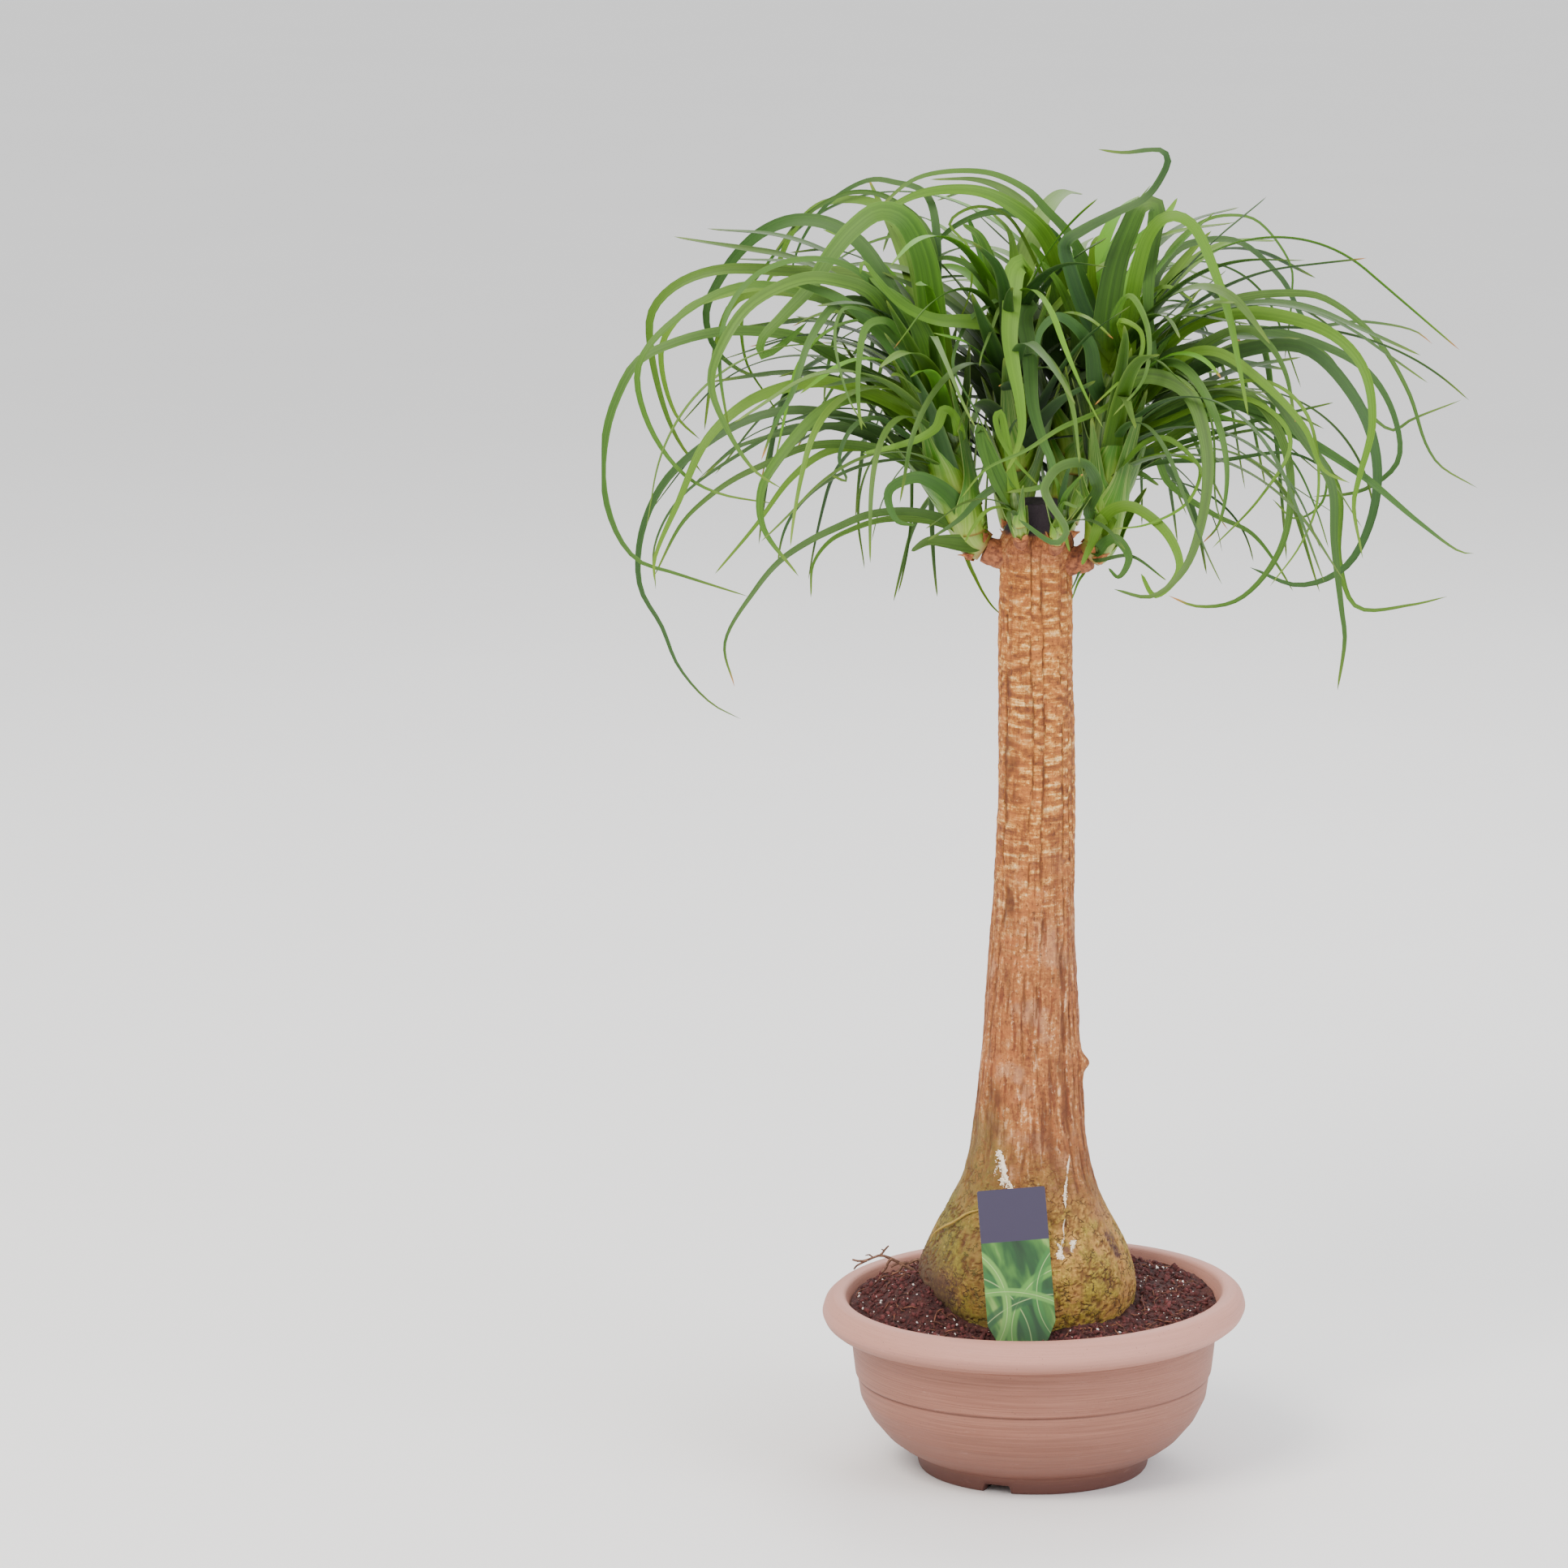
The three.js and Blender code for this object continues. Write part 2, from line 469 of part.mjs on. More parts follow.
function makeTrunk() {
  const rings = [...buriedTrunk, ...trunkShape].map(([z, radius, x]) =>
    Array.from({ length: trunkSides }, (_, k) => {
      const angle = (2 * Math.PI * k) / trunkSides;
      const r = radius * (1 + barkSwell(angle, z));
      return new THREE.Vector3(x + r * Math.cos(angle), r * Math.sin(angle), z);
    }),
  );
  let trunk = solidOf(loft(rings));
  const lump = new THREE.IcosahedronGeometry(knob.radius, 0);
  lump.translate(...knob.at);
  trunk = trunk.add(solidOf(lump));
  for (const shoot of Object.values(shoots)) {
    const end = vector(shoot.foot);
    const heading = vector(shoot.heading).normalize();
    const start = new THREE.Vector3(-2, 0, end.z - heading.z * 30);
    const collar = end.clone().addScaledVector(heading, -10);
    const stub = loft([
      ringAround(start, heading, shoot.stub * 0.8, 8),
      ringAround(collar, heading, shoot.stub * 1.15, 8),
      ringAround(end, heading, shoot.stub, 8),
    ]);
    trunk = trunk.add(solidOf(stub));
  }
  return geometryOf(oneBody(trunk));
}

// The stem of a shoot as a smooth curve that starts a hair's gap off its stub.
function stemCurve(shoot) {
  const foot = vector(shoot.foot).addScaledVector(vector(shoot.heading).normalize(), gap);
  return new THREE.CatmullRomCurve3([foot, ...shoot.stem.map(vector)], false, "centripetal");
}

function makeStem(shoot) {
  const curve = stemCurve(shoot);
  const last = shoot.radii.length - 1;
  const rings = shoot.radii.map((radius, i) => {
    const ahead = i === 0 ? vector(shoot.heading).normalize() : curve.getTangentAt(i / last);
    return ringAround(curve.getPointAt(i / last), ahead, radius, 8);
  });
  return loft(rings);
}

// A traced leaf: it leaves its stem below the first traced point and swings to its depth along the way.
function tracedPath(stem, leaf, shift) {
  const [, , , depth, picture] = leaf;
  const points = [];
  for (let i = 0; i < picture.length; i += 2) points.push([picture[i], picture[i + 1]]);
  const start = fromPicture(...points[0], 0);
  let root = 0.06;
  for (let s = 0.06; s <= 0.96; s += 0.02) {
    if (stem.getPointAt(s).z < start.z - 14) root = s;
  }
  const foot = stem.getPointAt(root);
  const runs = [];
  let total = 0;
  points.forEach(([column, row], i) => {
    const [fromColumn, fromRow] = i === 0 ? [column - 40, row] : points[i - 1];
    total += Math.hypot(column - fromColumn, row - fromRow);
    runs.push(total);
  });
  const placed = points.map(([column, row], i) => {
    const swing = Math.sin(((runs[i] / total) * Math.PI) / 2);
    return fromPicture(column, row, foot.y + (depth + shift) * swing);
  });
  const curve = new THREE.CatmullRomCurve3([foot, ...placed], false, "centripetal");
  return curve.getSpacedPoints(pathSteps);
}

// A leaf set by rule: it rises from the stem at one bearing, arches over and hangs.
function archedPath(foot, bearing, length, rise, fall, bend, curl) {
  const points = [foot.clone()];
  const step = length / pathSteps;
  const point = foot.clone();
  for (let i = 0; i < pathSteps; i += 1) {
    const t = (i + 0.5) / pathSteps;
    const over = Math.min(1, t / bend);
    const tilt = radians(rise + (fall - rise) * over ** 1.15);
    const turn = radians(bearing + curl * t * t);
    point.x += step * Math.sin(tilt) * Math.cos(turn);
    point.y += step * Math.sin(tilt) * Math.sin(turn);
    point.z += step * Math.cos(tilt);
    points.push(point.clone());
  }
  return points;
}

function leafWidth(t, widest, tip) {
  return tip + (widest - tip) * (1 - t ** 2.6) ** 0.9;
}

// Three-sided cross sections along a leaf: a flat upper face over a shallow keel. sideAt gives the way across
// the blade, and a slow twist turns it about the leaf.
function leafRings(path, steps, widest, tip, sideAt, twist) {
  const rings = [];
  for (let i = 0; i <= steps; i += 1) {
    const at = (i * pathSteps) / steps;
    const t = i / steps;
    const ahead = path[Math.min(pathSteps, at + 1)].clone().sub(path[Math.max(0, at - 1)]).normalize();
    const side = sideAt(ahead);
    side.addScaledVector(ahead, -side.dot(ahead)).normalize();
    side.applyAxisAngle(ahead, radians(twist * t));
    const up = ahead.clone().cross(side);
    const width = leafWidth(t, widest, tip);
    const depth = Math.min(keel, 0.5 + width * 0.12);
    rings.push([
      path[at].clone().addScaledVector(side, width / 2),
      path[at].clone().addScaledVector(side, -width / 2),
      path[at].clone().addScaledVector(up, -depth),
    ]);
  }
  return rings;
}

// Small cells of space that a blade passes through, past its first stretch inside the stem.
function cellsOf(rings) {
  const cells = new Set();
  for (let i = 0; i + 1 < rings.length; i += 1) {
    const [a, b] = rings[i];
    const [d, c] = rings[i + 1];
    const along = Math.ceil(Math.max(a.distanceTo(d), b.distanceTo(c)) / clearCell);
    const across = Math.ceil(Math.max(a.distanceTo(b), d.distanceTo(c)) / clearCell);
    for (let j = 0; j <= along; j += 1) {
      const from = a.clone().lerp(d, j / along);
      const to = b.clone().lerp(c, j / along);
      for (let k = 0; k <= across; k += 1) {
        const point = from.clone().lerp(to, k / across);
        if (i > 0 || j * clearCell >= rootLength) cells.add(cellOf(point));
      }
    }
  }
  return cells;
}

function cellOf(point) {
  const column = Math.floor(point.x / clearCell) + cellReach;
  const row = Math.floor(point.y / clearCell) + cellReach;
  return column + cellSpan * (row + cellSpan * Math.floor(point.z / clearCell));
}

// Marks cells and their neighbours as taken by one shoot.
function claim(taken, cells) {
  for (const cell of cells) {
    for (const up of [-1, 0, 1]) {
      for (const back of [-1, 0, 1]) {
        for (const along of [-1, 0, 1]) taken.add(cell + along + cellSpan * (back + cellSpan * up));
      }
    }
  }
}

function countIn(taken, cells) {
  let hits = 0;
  for (const cell of cells) if (taken.has(cell)) hits += 1;
  return hits;
}

// Whether a blade comes within a cell of the trunk or of the sealed cut at its top.
function nearTrunk(rings) {
  const touches = ({ x, y, z }) =>
    z < cutTop + 2 * clearCell && Math.hypot(x + 2, y) < trunkRadius(Math.min(z, cutBase)) + clearCell;
  return rings.slice(1).some((ring) => ring.some(touches));
}

// Whether a leaf leaves the crown's outline: its lower edge is higher before the trunk than at its sides.
function leavesCrown(path, { lowest }) {
  return path.some(({ x, y, z }) => {
    const edge = Math.abs(x) < 120 && y < 60 ? lowest.middle : lowest.sides;
    return z < edge - 0.2 * y || Math.hypot(x / crownReach[0], y / crownReach[1]) > 1;
  });
}

function growShoots() {
  const taken = {};
  const blades = {};
  const stems = {};
  const made = {};
  for (const [name, shoot] of Object.entries(shoots)) {
    stems[name] = stemCurve(shoot);
    made[name] = makeStem(shoot);
    blades[name] = [];
    taken[name] = new Set();
    claim(taken[name], cellsAlongStem(stems[name], shoot));
  }
  const isClear = (name, rings, cells) => {
    const others = Object.keys(shoots).filter((other) => other !== name);
    return !nearTrunk(rings) && others.every((other) => countIn(taken[other], cells) === 0);
  };
  const keep = (name, rings, cells) => {
    blades[name].push(loft(rings));
    claim(taken[name], cells);
  };

  for (const leaf of tracedLeaves) {
    const [name, widest, tip, , picture] = leaf;
    const draw = seededDraw(picture[0] + 2000 * picture[1]);
    const face = new THREE.Vector3(0.3 * (draw() - 0.5), -0.75 - 0.25 * draw(), 0.35 + 0.5 * draw());
    const twist = 50 * (draw() - 0.5);
    for (const shift of depthShifts) {
      const path = tracedPath(stems[name], leaf, shift);
      const steps = picture.length > 20 ? 8 : 6;
      const rings = leafRings(path, steps, widest, tip, (ahead) => face.clone().cross(ahead), twist);
      const cells = cellsOf(rings);
      if (isClear(name, rings, cells)) {
        keep(name, rings, cells);
        break;
      }
    }
  }

  Object.entries(shoots).forEach(([name, { rule }], order) => {
    for (let i = 0; i < rule.count; i += 1) {
      let best = null;
      for (let attempt = 0; attempt < ruleAttempts; attempt += 1) {
        const draw = seededDraw(5000 + order * 400 + i * 20 + attempt);
        const young = draw();
        const foot = stems[name].getPointAt(0.22 + 0.74 * young);
        const bearing = rule.from + rule.sweep * ((i * goldenShare + 0.12 * draw()) % 1);
        const length = rule.length[0] + (rule.length[1] - rule.length[0]) * draw();
        const rise = rule.rise[1] + (rule.rise[0] - rule.rise[1]) * (0.75 * young + 0.25 * draw());
        const fall = 118 + 52 * draw();
        const path = archedPath(foot, bearing, length, rise, fall, 0.6 + 0.35 * draw(), 80 * (draw() - 0.5));
        const widest = (length < 200 ? 5 : 8) + 8 * draw() * draw();
        const side = new THREE.Vector3(-Math.sin(radians(bearing)), Math.cos(radians(bearing)), 0);
        const steps = length < 200 ? 4 : 6;
        const rings = leafRings(path, steps, widest, 1.4, () => side.clone(), 90 * (draw() - 0.5));
        const cells = cellsOf(rings);
        const crossings = countIn(taken[name], cells);
        if (leavesCrown(path, rule) || !isClear(name, rings, cells)) continue;
        if (!best || crossings < best.crossings) best = { rings, cells, crossings };
      }
      if (best) keep(name, best.rings, best.cells);
    }
  });

  return Object.fromEntries(
    Object.keys(shoots).map((name) => {
      const parts = [made[name], ...blades[name]].map(solidOf);
      return [name, geometryOf(oneBody(wasm.Manifold.union(parts)))];
    }),
  );
}

function cellsAlongStem(curve, shoot) {
  const cells = new Set();
  const last = shoot.radii.length - 1;
  for (let s = 0; s <= 1; s += 0.02) {
    const radius = shoot.radii[Math.round(s * last)];
    for (let r = radius; r > 0; r -= clearCell) {
      const ring = ringAround(curve.getPointAt(s), curve.getTangentAt(s), r, 16);
      ring.forEach((point) => cells.add(cellOf(point)));
    }
  }
  return cells;
}

const group = new THREE.Group();

function addPiece(name, geometry, colour, roughness) {
  const material = new THREE.MeshStandardMaterial({ color: colour, roughness, metalness: 0 });
  const mesh = new THREE.Mesh(geometry, material);
  mesh.name = name;
  group.add(mesh);
  return mesh;
}

addPiece("pot", makePot(), colours.pot, 0.6);
addPiece("soil", makeSoil(), colours.soil, 1);
addPiece("trunk", makeTrunk(), colours.trunk, 0.9);
const card = addPiece("label", makeLabel(), colours.label, 0.4);
labelPlace.decompose(card.position, card.quaternion, card.scale);
for (const [name, geometry] of Object.entries(growShoots())) {
  const shaded = name === "back" || name === "centre";
  addPiece(`shoot_${name}`, geometry, shaded ? colours.deepLeaf : colours.leaf, 0.45);
}

export default group;
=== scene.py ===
import math
from itertools import product

import bpy
import numpy as np
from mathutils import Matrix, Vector


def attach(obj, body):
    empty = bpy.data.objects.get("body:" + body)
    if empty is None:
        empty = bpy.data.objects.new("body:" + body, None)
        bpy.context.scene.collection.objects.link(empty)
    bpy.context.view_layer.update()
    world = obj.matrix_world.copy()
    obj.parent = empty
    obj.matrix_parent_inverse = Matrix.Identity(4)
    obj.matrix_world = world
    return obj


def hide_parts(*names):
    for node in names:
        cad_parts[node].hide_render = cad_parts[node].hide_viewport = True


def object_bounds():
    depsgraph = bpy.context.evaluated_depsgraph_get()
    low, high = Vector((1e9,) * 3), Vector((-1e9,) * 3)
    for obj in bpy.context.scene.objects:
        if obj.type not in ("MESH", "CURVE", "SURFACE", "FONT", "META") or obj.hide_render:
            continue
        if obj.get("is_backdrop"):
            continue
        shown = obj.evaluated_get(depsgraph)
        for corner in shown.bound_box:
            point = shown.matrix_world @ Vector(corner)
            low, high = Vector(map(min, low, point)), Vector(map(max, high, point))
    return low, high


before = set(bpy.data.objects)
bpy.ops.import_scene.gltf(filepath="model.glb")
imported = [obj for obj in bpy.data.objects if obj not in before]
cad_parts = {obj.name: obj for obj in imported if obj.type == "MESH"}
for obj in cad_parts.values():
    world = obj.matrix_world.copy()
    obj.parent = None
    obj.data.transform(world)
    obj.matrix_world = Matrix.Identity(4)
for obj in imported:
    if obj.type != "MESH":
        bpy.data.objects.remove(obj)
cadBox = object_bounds()
print("stage: frame loaded")

mm = 0.001


def linear(hexColour):
    channels = [int(hexColour[i:i + 2], 16) / 255 for i in (1, 3, 5)]
    return tuple(c / 12.92 if c <= 0.04045 else ((c + 0.055) / 1.055) ** 2.4 for c in channels) + (1.0,)


def smooth(low, high, value):
    t = np.clip((np.asarray(value, float) - low) / (high - low), 0, 1)
    return t * t * (3 - 2 * t)


class Sock:
    # a socket of a finish: sums on it add Math nodes
    def __init__(self, finish, link):
        self.finish = finish
        self.link = link

    def sum(self, operation, first, second):
        return self.finish.node("ShaderNodeMath", {"operation": operation}, {0: first, 1: second})

    def __add__(self, other):
        return self.sum("ADD", self, other)

    def __radd__(self, other):
        return self.sum("ADD", other, self)

    def __sub__(self, other):
        return self.sum("SUBTRACT", self, other)

    def __rsub__(self, other):
        return self.sum("SUBTRACT", other, self)

    def __mul__(self, other):
        return self.sum("MULTIPLY", self, other)

    def __rmul__(self, other):
        return self.sum("MULTIPLY", other, self)

    def __truediv__(self, other):
        return self.sum("DIVIDE", self, other)

    def __rtruediv__(self, other):
        return self.sum("DIVIDE", other, self)

    def __pow__(self, other):
        return self.sum("POWER", self, other)

    def __gt__(self, other):
        return self.sum("GREATER_THAN", self, other)


class Finish:
    # one material, built node by node
    def __init__(self, name):
        self.material = bpy.data.materials.new(name)
        self.material.use_nodes = True
        self.tree = self.material.node_tree
        self.tree.nodes.clear()

    def node(self, kind, settings=None, sockets=None, out=0):
        made = self.tree.nodes.new(kind)
        for key, value in (settings or {}).items():
            if key == "stops":
                self.setStops(made.color_ramp, value)
            else:
                setattr(made, key, value)
        for key, value in (sockets or {}).items():
            if isinstance(value, Sock):
                self.tree.links.new(value.link, made.inputs[key])
            else:
                made.inputs[key].default_value = value
        return Sock(self, made.outputs[out]) if len(made.outputs) else made

    def setStops(self, ramp, stops):
        while len(ramp.elements) < len(stops):
            ramp.elements.new(0.5)
        for element, (position, colour) in zip(ramp.elements, stops):
            element.position = position
            element.color = linear(colour)

    def place(self, across=(1, 1, 1)):
        where = self.node("ShaderNodeTexCoord", out="Object")
        return self.node("ShaderNodeMapping", {}, {"Vector": where, "Scale": across})

    def axis(self, letter):
        where = self.node("ShaderNodeTexCoord", out="Object")
        return self.node("ShaderNodeSeparateXYZ", {}, {0: where}, out=letter)

    def joined(self, x, y, z):
        return self.node("ShaderNodeCombineXYZ", {}, {0: x, 1: y, 2: z})

    def cloud(self, where, scale, detail=4.0, rough=0.55, warp=0.0):
        return self.node("ShaderNodeTexNoise", {"noise_dimensions": "3D"}, {
            "Vector": where, "Scale": scale, "Detail": detail, "Roughness": rough, "Distortion": warp})

    def cells(self, where, scale, feature="F1"):
        sockets = {"Vector": where, "Scale": scale}
        return self.node("ShaderNodeTexVoronoi", {"feature": feature}, sockets, out="Distance")

    def warped(self, where, scale, amount):
        # a place pushed about by noise, so that cells and lines on it wander
        push = self.node("ShaderNodeTexNoise", {"noise_dimensions": "3D"}, {
            "Vector": where, "Scale": scale, "Detail": 3.0}, out=1)
        push = self.node("ShaderNodeVectorMath", {"operation": "SCALE"}, {0: push, "Scale": amount})
        return self.node("ShaderNodeVectorMath", {"operation": "ADD"}, {0: where, 1: push})

    def ramp(self, value, stops):
        return self.node("ShaderNodeValToRGB", {"stops": stops}, {0: value})

    def step(self, value, low, high):
        return self.node("ShaderNodeMapRange", {"interpolation_type": "SMOOTHSTEP"}, {
            "Value": value, "From Min": low, "From Max": high, "To Min": 0.0, "To Max": 1.0})

    def blend(self, share, first, second):
        colours = [linear(c) if isinstance(c, str) else c for c in (first, second)]
        sockets = {0: share, 6: colours[0], 7: colours[1]}  # its sockets for colours
        return self.node("ShaderNodeMix", {"data_type": "RGBA"}, sockets, out=2)

    def fact(self, name):
        return self.node("ShaderNodeAttribute", {"attribute_name": name}, out="Fac")

    def bump(self, height, distance, strength):
        sockets = {"Height": height, "Distance": distance, "Strength": strength}
        return self.node("ShaderNodeBump", {}, sockets)

    def shade(self, **sockets):
        names = {key.replace("_", " "): value for key, value in sockets.items()}
        made = self.node("ShaderNodeBsdfPrincipled", {}, names)
        self.node("ShaderNodeOutputMaterial", {}, {"Surface": made})
        return self.material


def grainLook(name, dark, light, grain, dull, relief=None, edges=None):
    # one noise from a dark to a light colour: grain is its scale, detail and roughness, relief its bump
    f = Finish(name)
    noise = f.cloud(f.place(), *grain)
    share = f.step(noise, *edges) if edges else noise
    normal = {"Normal": f.bump(noise, *relief)} if relief else {}
    return f.shade(Base_Color=f.blend(share, dark, light), Roughness=dull, **normal)


def meshPiece(name, points, faces, finish, flat=False):
    mesh = bpy.data.meshes.new(name)
    mesh.from_pydata((np.asarray(points, float) * mm).tolist(), [], [tuple(map(int, f)) for f in faces])
    mesh.materials.append(finish)
    if not flat:
        mesh.shade_smooth()
    mesh.update()
    piece = bpy.data.objects.new(name, mesh)
    bpy.context.scene.collection.objects.link(piece)
    return piece


def settle(piece, slot, *nodes):
    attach(piece, "root")
    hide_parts(*nodes)
    return piece


def sharpen(piece, sides, corners):
    # the lengthwise edges at the given corners of every ring stay crisp
    mesh = piece.data
    ends = np.empty(len(mesh.edges) * 2, np.int32)
    mesh.edges.foreach_get("vertices", ends)
    first, second = ends.reshape(-1, 2).T
    crisp = (first % sides == second % sides) & np.isin(first % sides, corners)
    layer = mesh.attributes.get("sharp_edge") or mesh.attributes.new("sharp_edge", "BOOLEAN", "EDGE")
    layer.data.foreach_set("value", crisp)


def storeFacts(piece, facts):
    # values of every point, which the finishes read by name
    for name, values in facts.items():
        layer = piece.data.attributes.new(name, "FLOAT", "POINT")
        layer.data.foreach_set("value", np.asarray(values, np.float32))


def gridFaces(rows, columns, closed=True, start=0):
    # quads of a grid whose rows follow one another; closed joins the last column to the first
    faces = []
    for i in range(rows - 1):
        for k in range(columns if closed else columns - 1):
            a = start + i * columns + k
            b = start + i * columns + (k + 1) % columns
            faces.append((a, b, b + columns, a + columns))
    return faces


def tubeFaces(rows, columns, start=0):
    # a closed tube of rings, its two ends shut by one face each
    faces = gridFaces(rows, columns, True, start)
    last = start + (rows - 1) * columns
    faces.append(tuple(start + k for k in reversed(range(columns))))
    faces.append(tuple(last + k for k in range(columns)))
    return faces


def joinTubes(tubes, sides):
    # closed tubes of rings as one mesh
    faces, count = [], 0
    for points in tubes:
        faces += tubeFaces(len(points) // sides, sides, count)
        count += len(points)
    return np.concatenate(tubes), faces


def cornerCurve(before, corner, after, cut, cuts):
    # a corner cut back by up to cut on both sides and drawn as a short curve
    back, ahead = before - corner, after - corner
    backLong, aheadLong = np.linalg.norm(back), np.linalg.norm(ahead)
    p0 = corner + back / backLong * min(cut, backLong * 0.48)
    p2 = corner + ahead / aheadLong * min(cut, aheadLong * 0.48)
    return [(1 - t) ** 2 * p0 + 2 * t * (1 - t) * corner + t * t * p2 for t in np.linspace(0, 1, cuts)]


def roundedProfile(corners, cut, cuts=5):
    corners = [np.array(c, float) for c in corners]
    points = [corners[0]]
    for before, corner, after in zip(corners, corners[1:], corners[2:]):
        points += cornerCurve(before, corner, after, cut, cuts)
    return points + [corners[-1]]


def turnedMesh(profile, sides):
    # a profile of radius and height turned about the axis; its first and last points lie on the axis
    angles = np.linspace(0, 2 * math.pi, sides, endpoint=False)
    rows = [np.stack([r * np.cos(angles), r * np.sin(angles), np.full(sides, z)], 1)
            for r, z in profile[1:-1]]
    points = np.concatenate([*rows, [(0, 0, profile[0][1]), (0, 0, profile[-1][1])]])
    count = len(rows) * sides
    faces = gridFaces(len(rows), sides)
    for k in range(sides):
        after = (k + 1) % sides
        faces.append((count, after, k))
        faces.append((count + 1, count - sides + k, count - sides + after))
    return points, faces


def scramble(x, y, z, seed):
    # a number from 0 to 1 for each cell of a grid, with no order to be seen in it
    mixed = (x * 374761393 + y * 668265263 + z * 2147483647 + seed * 1274126177) & 0xFFFFFFFF
    mixed = ((mixed ^ (mixed >> 13)) * 1274126177) & 0xFFFFFFFF
    mixed = ((mixed ^ (mixed >> 16)) * 2246822519) & 0xFFFFFFFF
    return (mixed ^ (mixed >> 15)) / 4294967296


def clouds(points, size, octaves=4, seed=1):
    # soft noise from -1 to 1, as large as size along each axis
    spots = np.asarray(points, float) / np.asarray(size, float)
    total = np.zeros(len(spots))
    weight = 0
    for octave in range(octaves):
        share = 0.5 ** octave
        moved = spots * 2 ** octave + 17.3 * octave
        corner = np.floor(moved).astype(np.int64)
        part = moved - corner
        part = part * part * (3 - 2 * part)
        sides = (1 - part, part)
        value = 0
        for dx, dy, dz in product((0, 1), repeat=3):
            pull = sides[dx][:, 0] * sides[dy][:, 1] * sides[dz][:, 2]
            value = value + pull * scramble(*(corner + (dx, dy, dz)).T, seed + octave)
        total += share * (2 * value - 1)
        weight += share
    return total / weight


def crackle(points, size, seed=1):
    # 0 along the lines between scattered cells, growing towards each cell's middle
    spots = np.asarray(points, float) / np.asarray(size, float)
    corner = np.floor(spots).astype(np.int64)
    first = np.full(len(spots), 9.0)
    second = np.full(len(spots), 9.0)
    for step in product((-1, 0, 1), repeat=3):
        cell = corner + step
        seeds = [scramble(*cell.T, seed + k) for k in range(3)]
        away = lengthOf(cell + np.stack(seeds, 1) - spots)
        second = np.minimum(second, np.maximum(first, away))
        first = np.minimum(first, away)
    return second - first


def lengthOf(vectors):
    return np.sqrt((vectors * vectors).sum(-1))


def unit(vector):
    vector = np.asarray(vector, float)
    return vector / np.sqrt((vector * vector).sum(-1, keepdims=True))


def spread(values, shares):
    # values spaced evenly from 0 to 1, read at the given shares
    return np.interp(shares, np.linspace(0, 1, len(values)), values)


# millimetres, degrees and the picture's own pixels; "clip" is in metres
camera = {"distance": 7000, "height": 2068, "across": -236, "tilt": 11.4, "focal": 9440, "centre": 966,
          "frame": 1932, "sensor": 36, "clip": 50}


def fromPicture(column, row, depth):
    # the place that the picture shows at a column and row, if it lies at that depth
    tilt = math.radians(camera["tilt"])
    below = tilt + math.atan((row - camera["centre"]) / camera["focal"])
    z = camera["height"] - (camera["distance"] + depth) * math.tan(below)
    away = (camera["distance"] + depth) * math.cos(tilt) + (camera["height"] - z) * math.sin(tilt)
    return np.array([camera["across"] + (column - camera["centre"]) * away / camera["focal"], depth, z])


def makeView():
    data = bpy.data.cameras.new("viewer")
    data.lens = camera["focal"] / camera["frame"] * camera["sensor"]
    data.sensor_width = camera["sensor"]
    data.clip_end = camera["clip"]
    viewer = bpy.data.objects.new("viewer", data)
    viewer.location = (camera["across"] * mm, -camera["distance"] * mm, camera["height"] * mm)
    viewer.rotation_euler = (math.radians(90 - camera["tilt"]), 0, 0)
    bpy.context.scene.collection.objects.link(viewer)
    bpy.context.scene.camera = viewer


# each lamp: name, place in metres, size, power, colour
studio = {
    "lamps": [
        ("keyLamp", (-2.2, -3.0, 4.2), 2.2, 268, "#fff6ec"),
        ("fillLamp", (3.4, -2.6, 2.6), 3.0, 142, "#f6f8ff"),
        ("backLamp", (0.6, 3.4, 3.6), 2.6, 96, "#ffffff"),
    ],
    "aim": (0, 0, 0.7), "world": 1.15, "floorHalf": 30,
}


def makeLight():
    for name, place, size, power, colour in studio["lamps"]:
        data = bpy.data.lights.new(name, "AREA")
        data.size = size
        data.energy = power
        data.color = linear(colour)[:3]
        lamp = bpy.data.objects.new(name, data)
        lamp.location = place
        lamp.rotation_euler = (Vector(studio["aim"]) - Vector(place)).to_track_quat("-Z", "Y").to_euler()
        bpy.context.scene.collection.objects.link(lamp)
    world = bpy.data.worlds.new("studio")
    world.use_nodes = True
    world.node_tree.nodes["Background"].inputs[0].default_value = (1, 1, 1, 1)
    world.node_tree.nodes["Background"].inputs[1].default_value = studio["world"]
    bpy.context.scene.world = world


def makeFloor():
    half = studio["floorHalf"]
    corners = [(-half, -half, 0), (half, -half, 0), (half, half, 0), (-half, half, 0)]
    floor = bpy.data.meshes.new("floor")
    floor.from_pydata(corners, [], [(0, 1, 2, 3)])
    piece = bpy.data.objects.new("floor", floor)
    bpy.context.scene.collection.objects.link(piece)
    finish = Finish("paleFloor")
    tint = finish.blend(finish.cloud(finish.place(), 2.0), "#f4f4f4", "#f9f9f9")
    floor.materials.append(finish.shade(Base_Color=tint, Roughness=0.85))
    piece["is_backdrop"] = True


makeView()
makeLight()
makeFloor()
print("stage: view, light and floor")


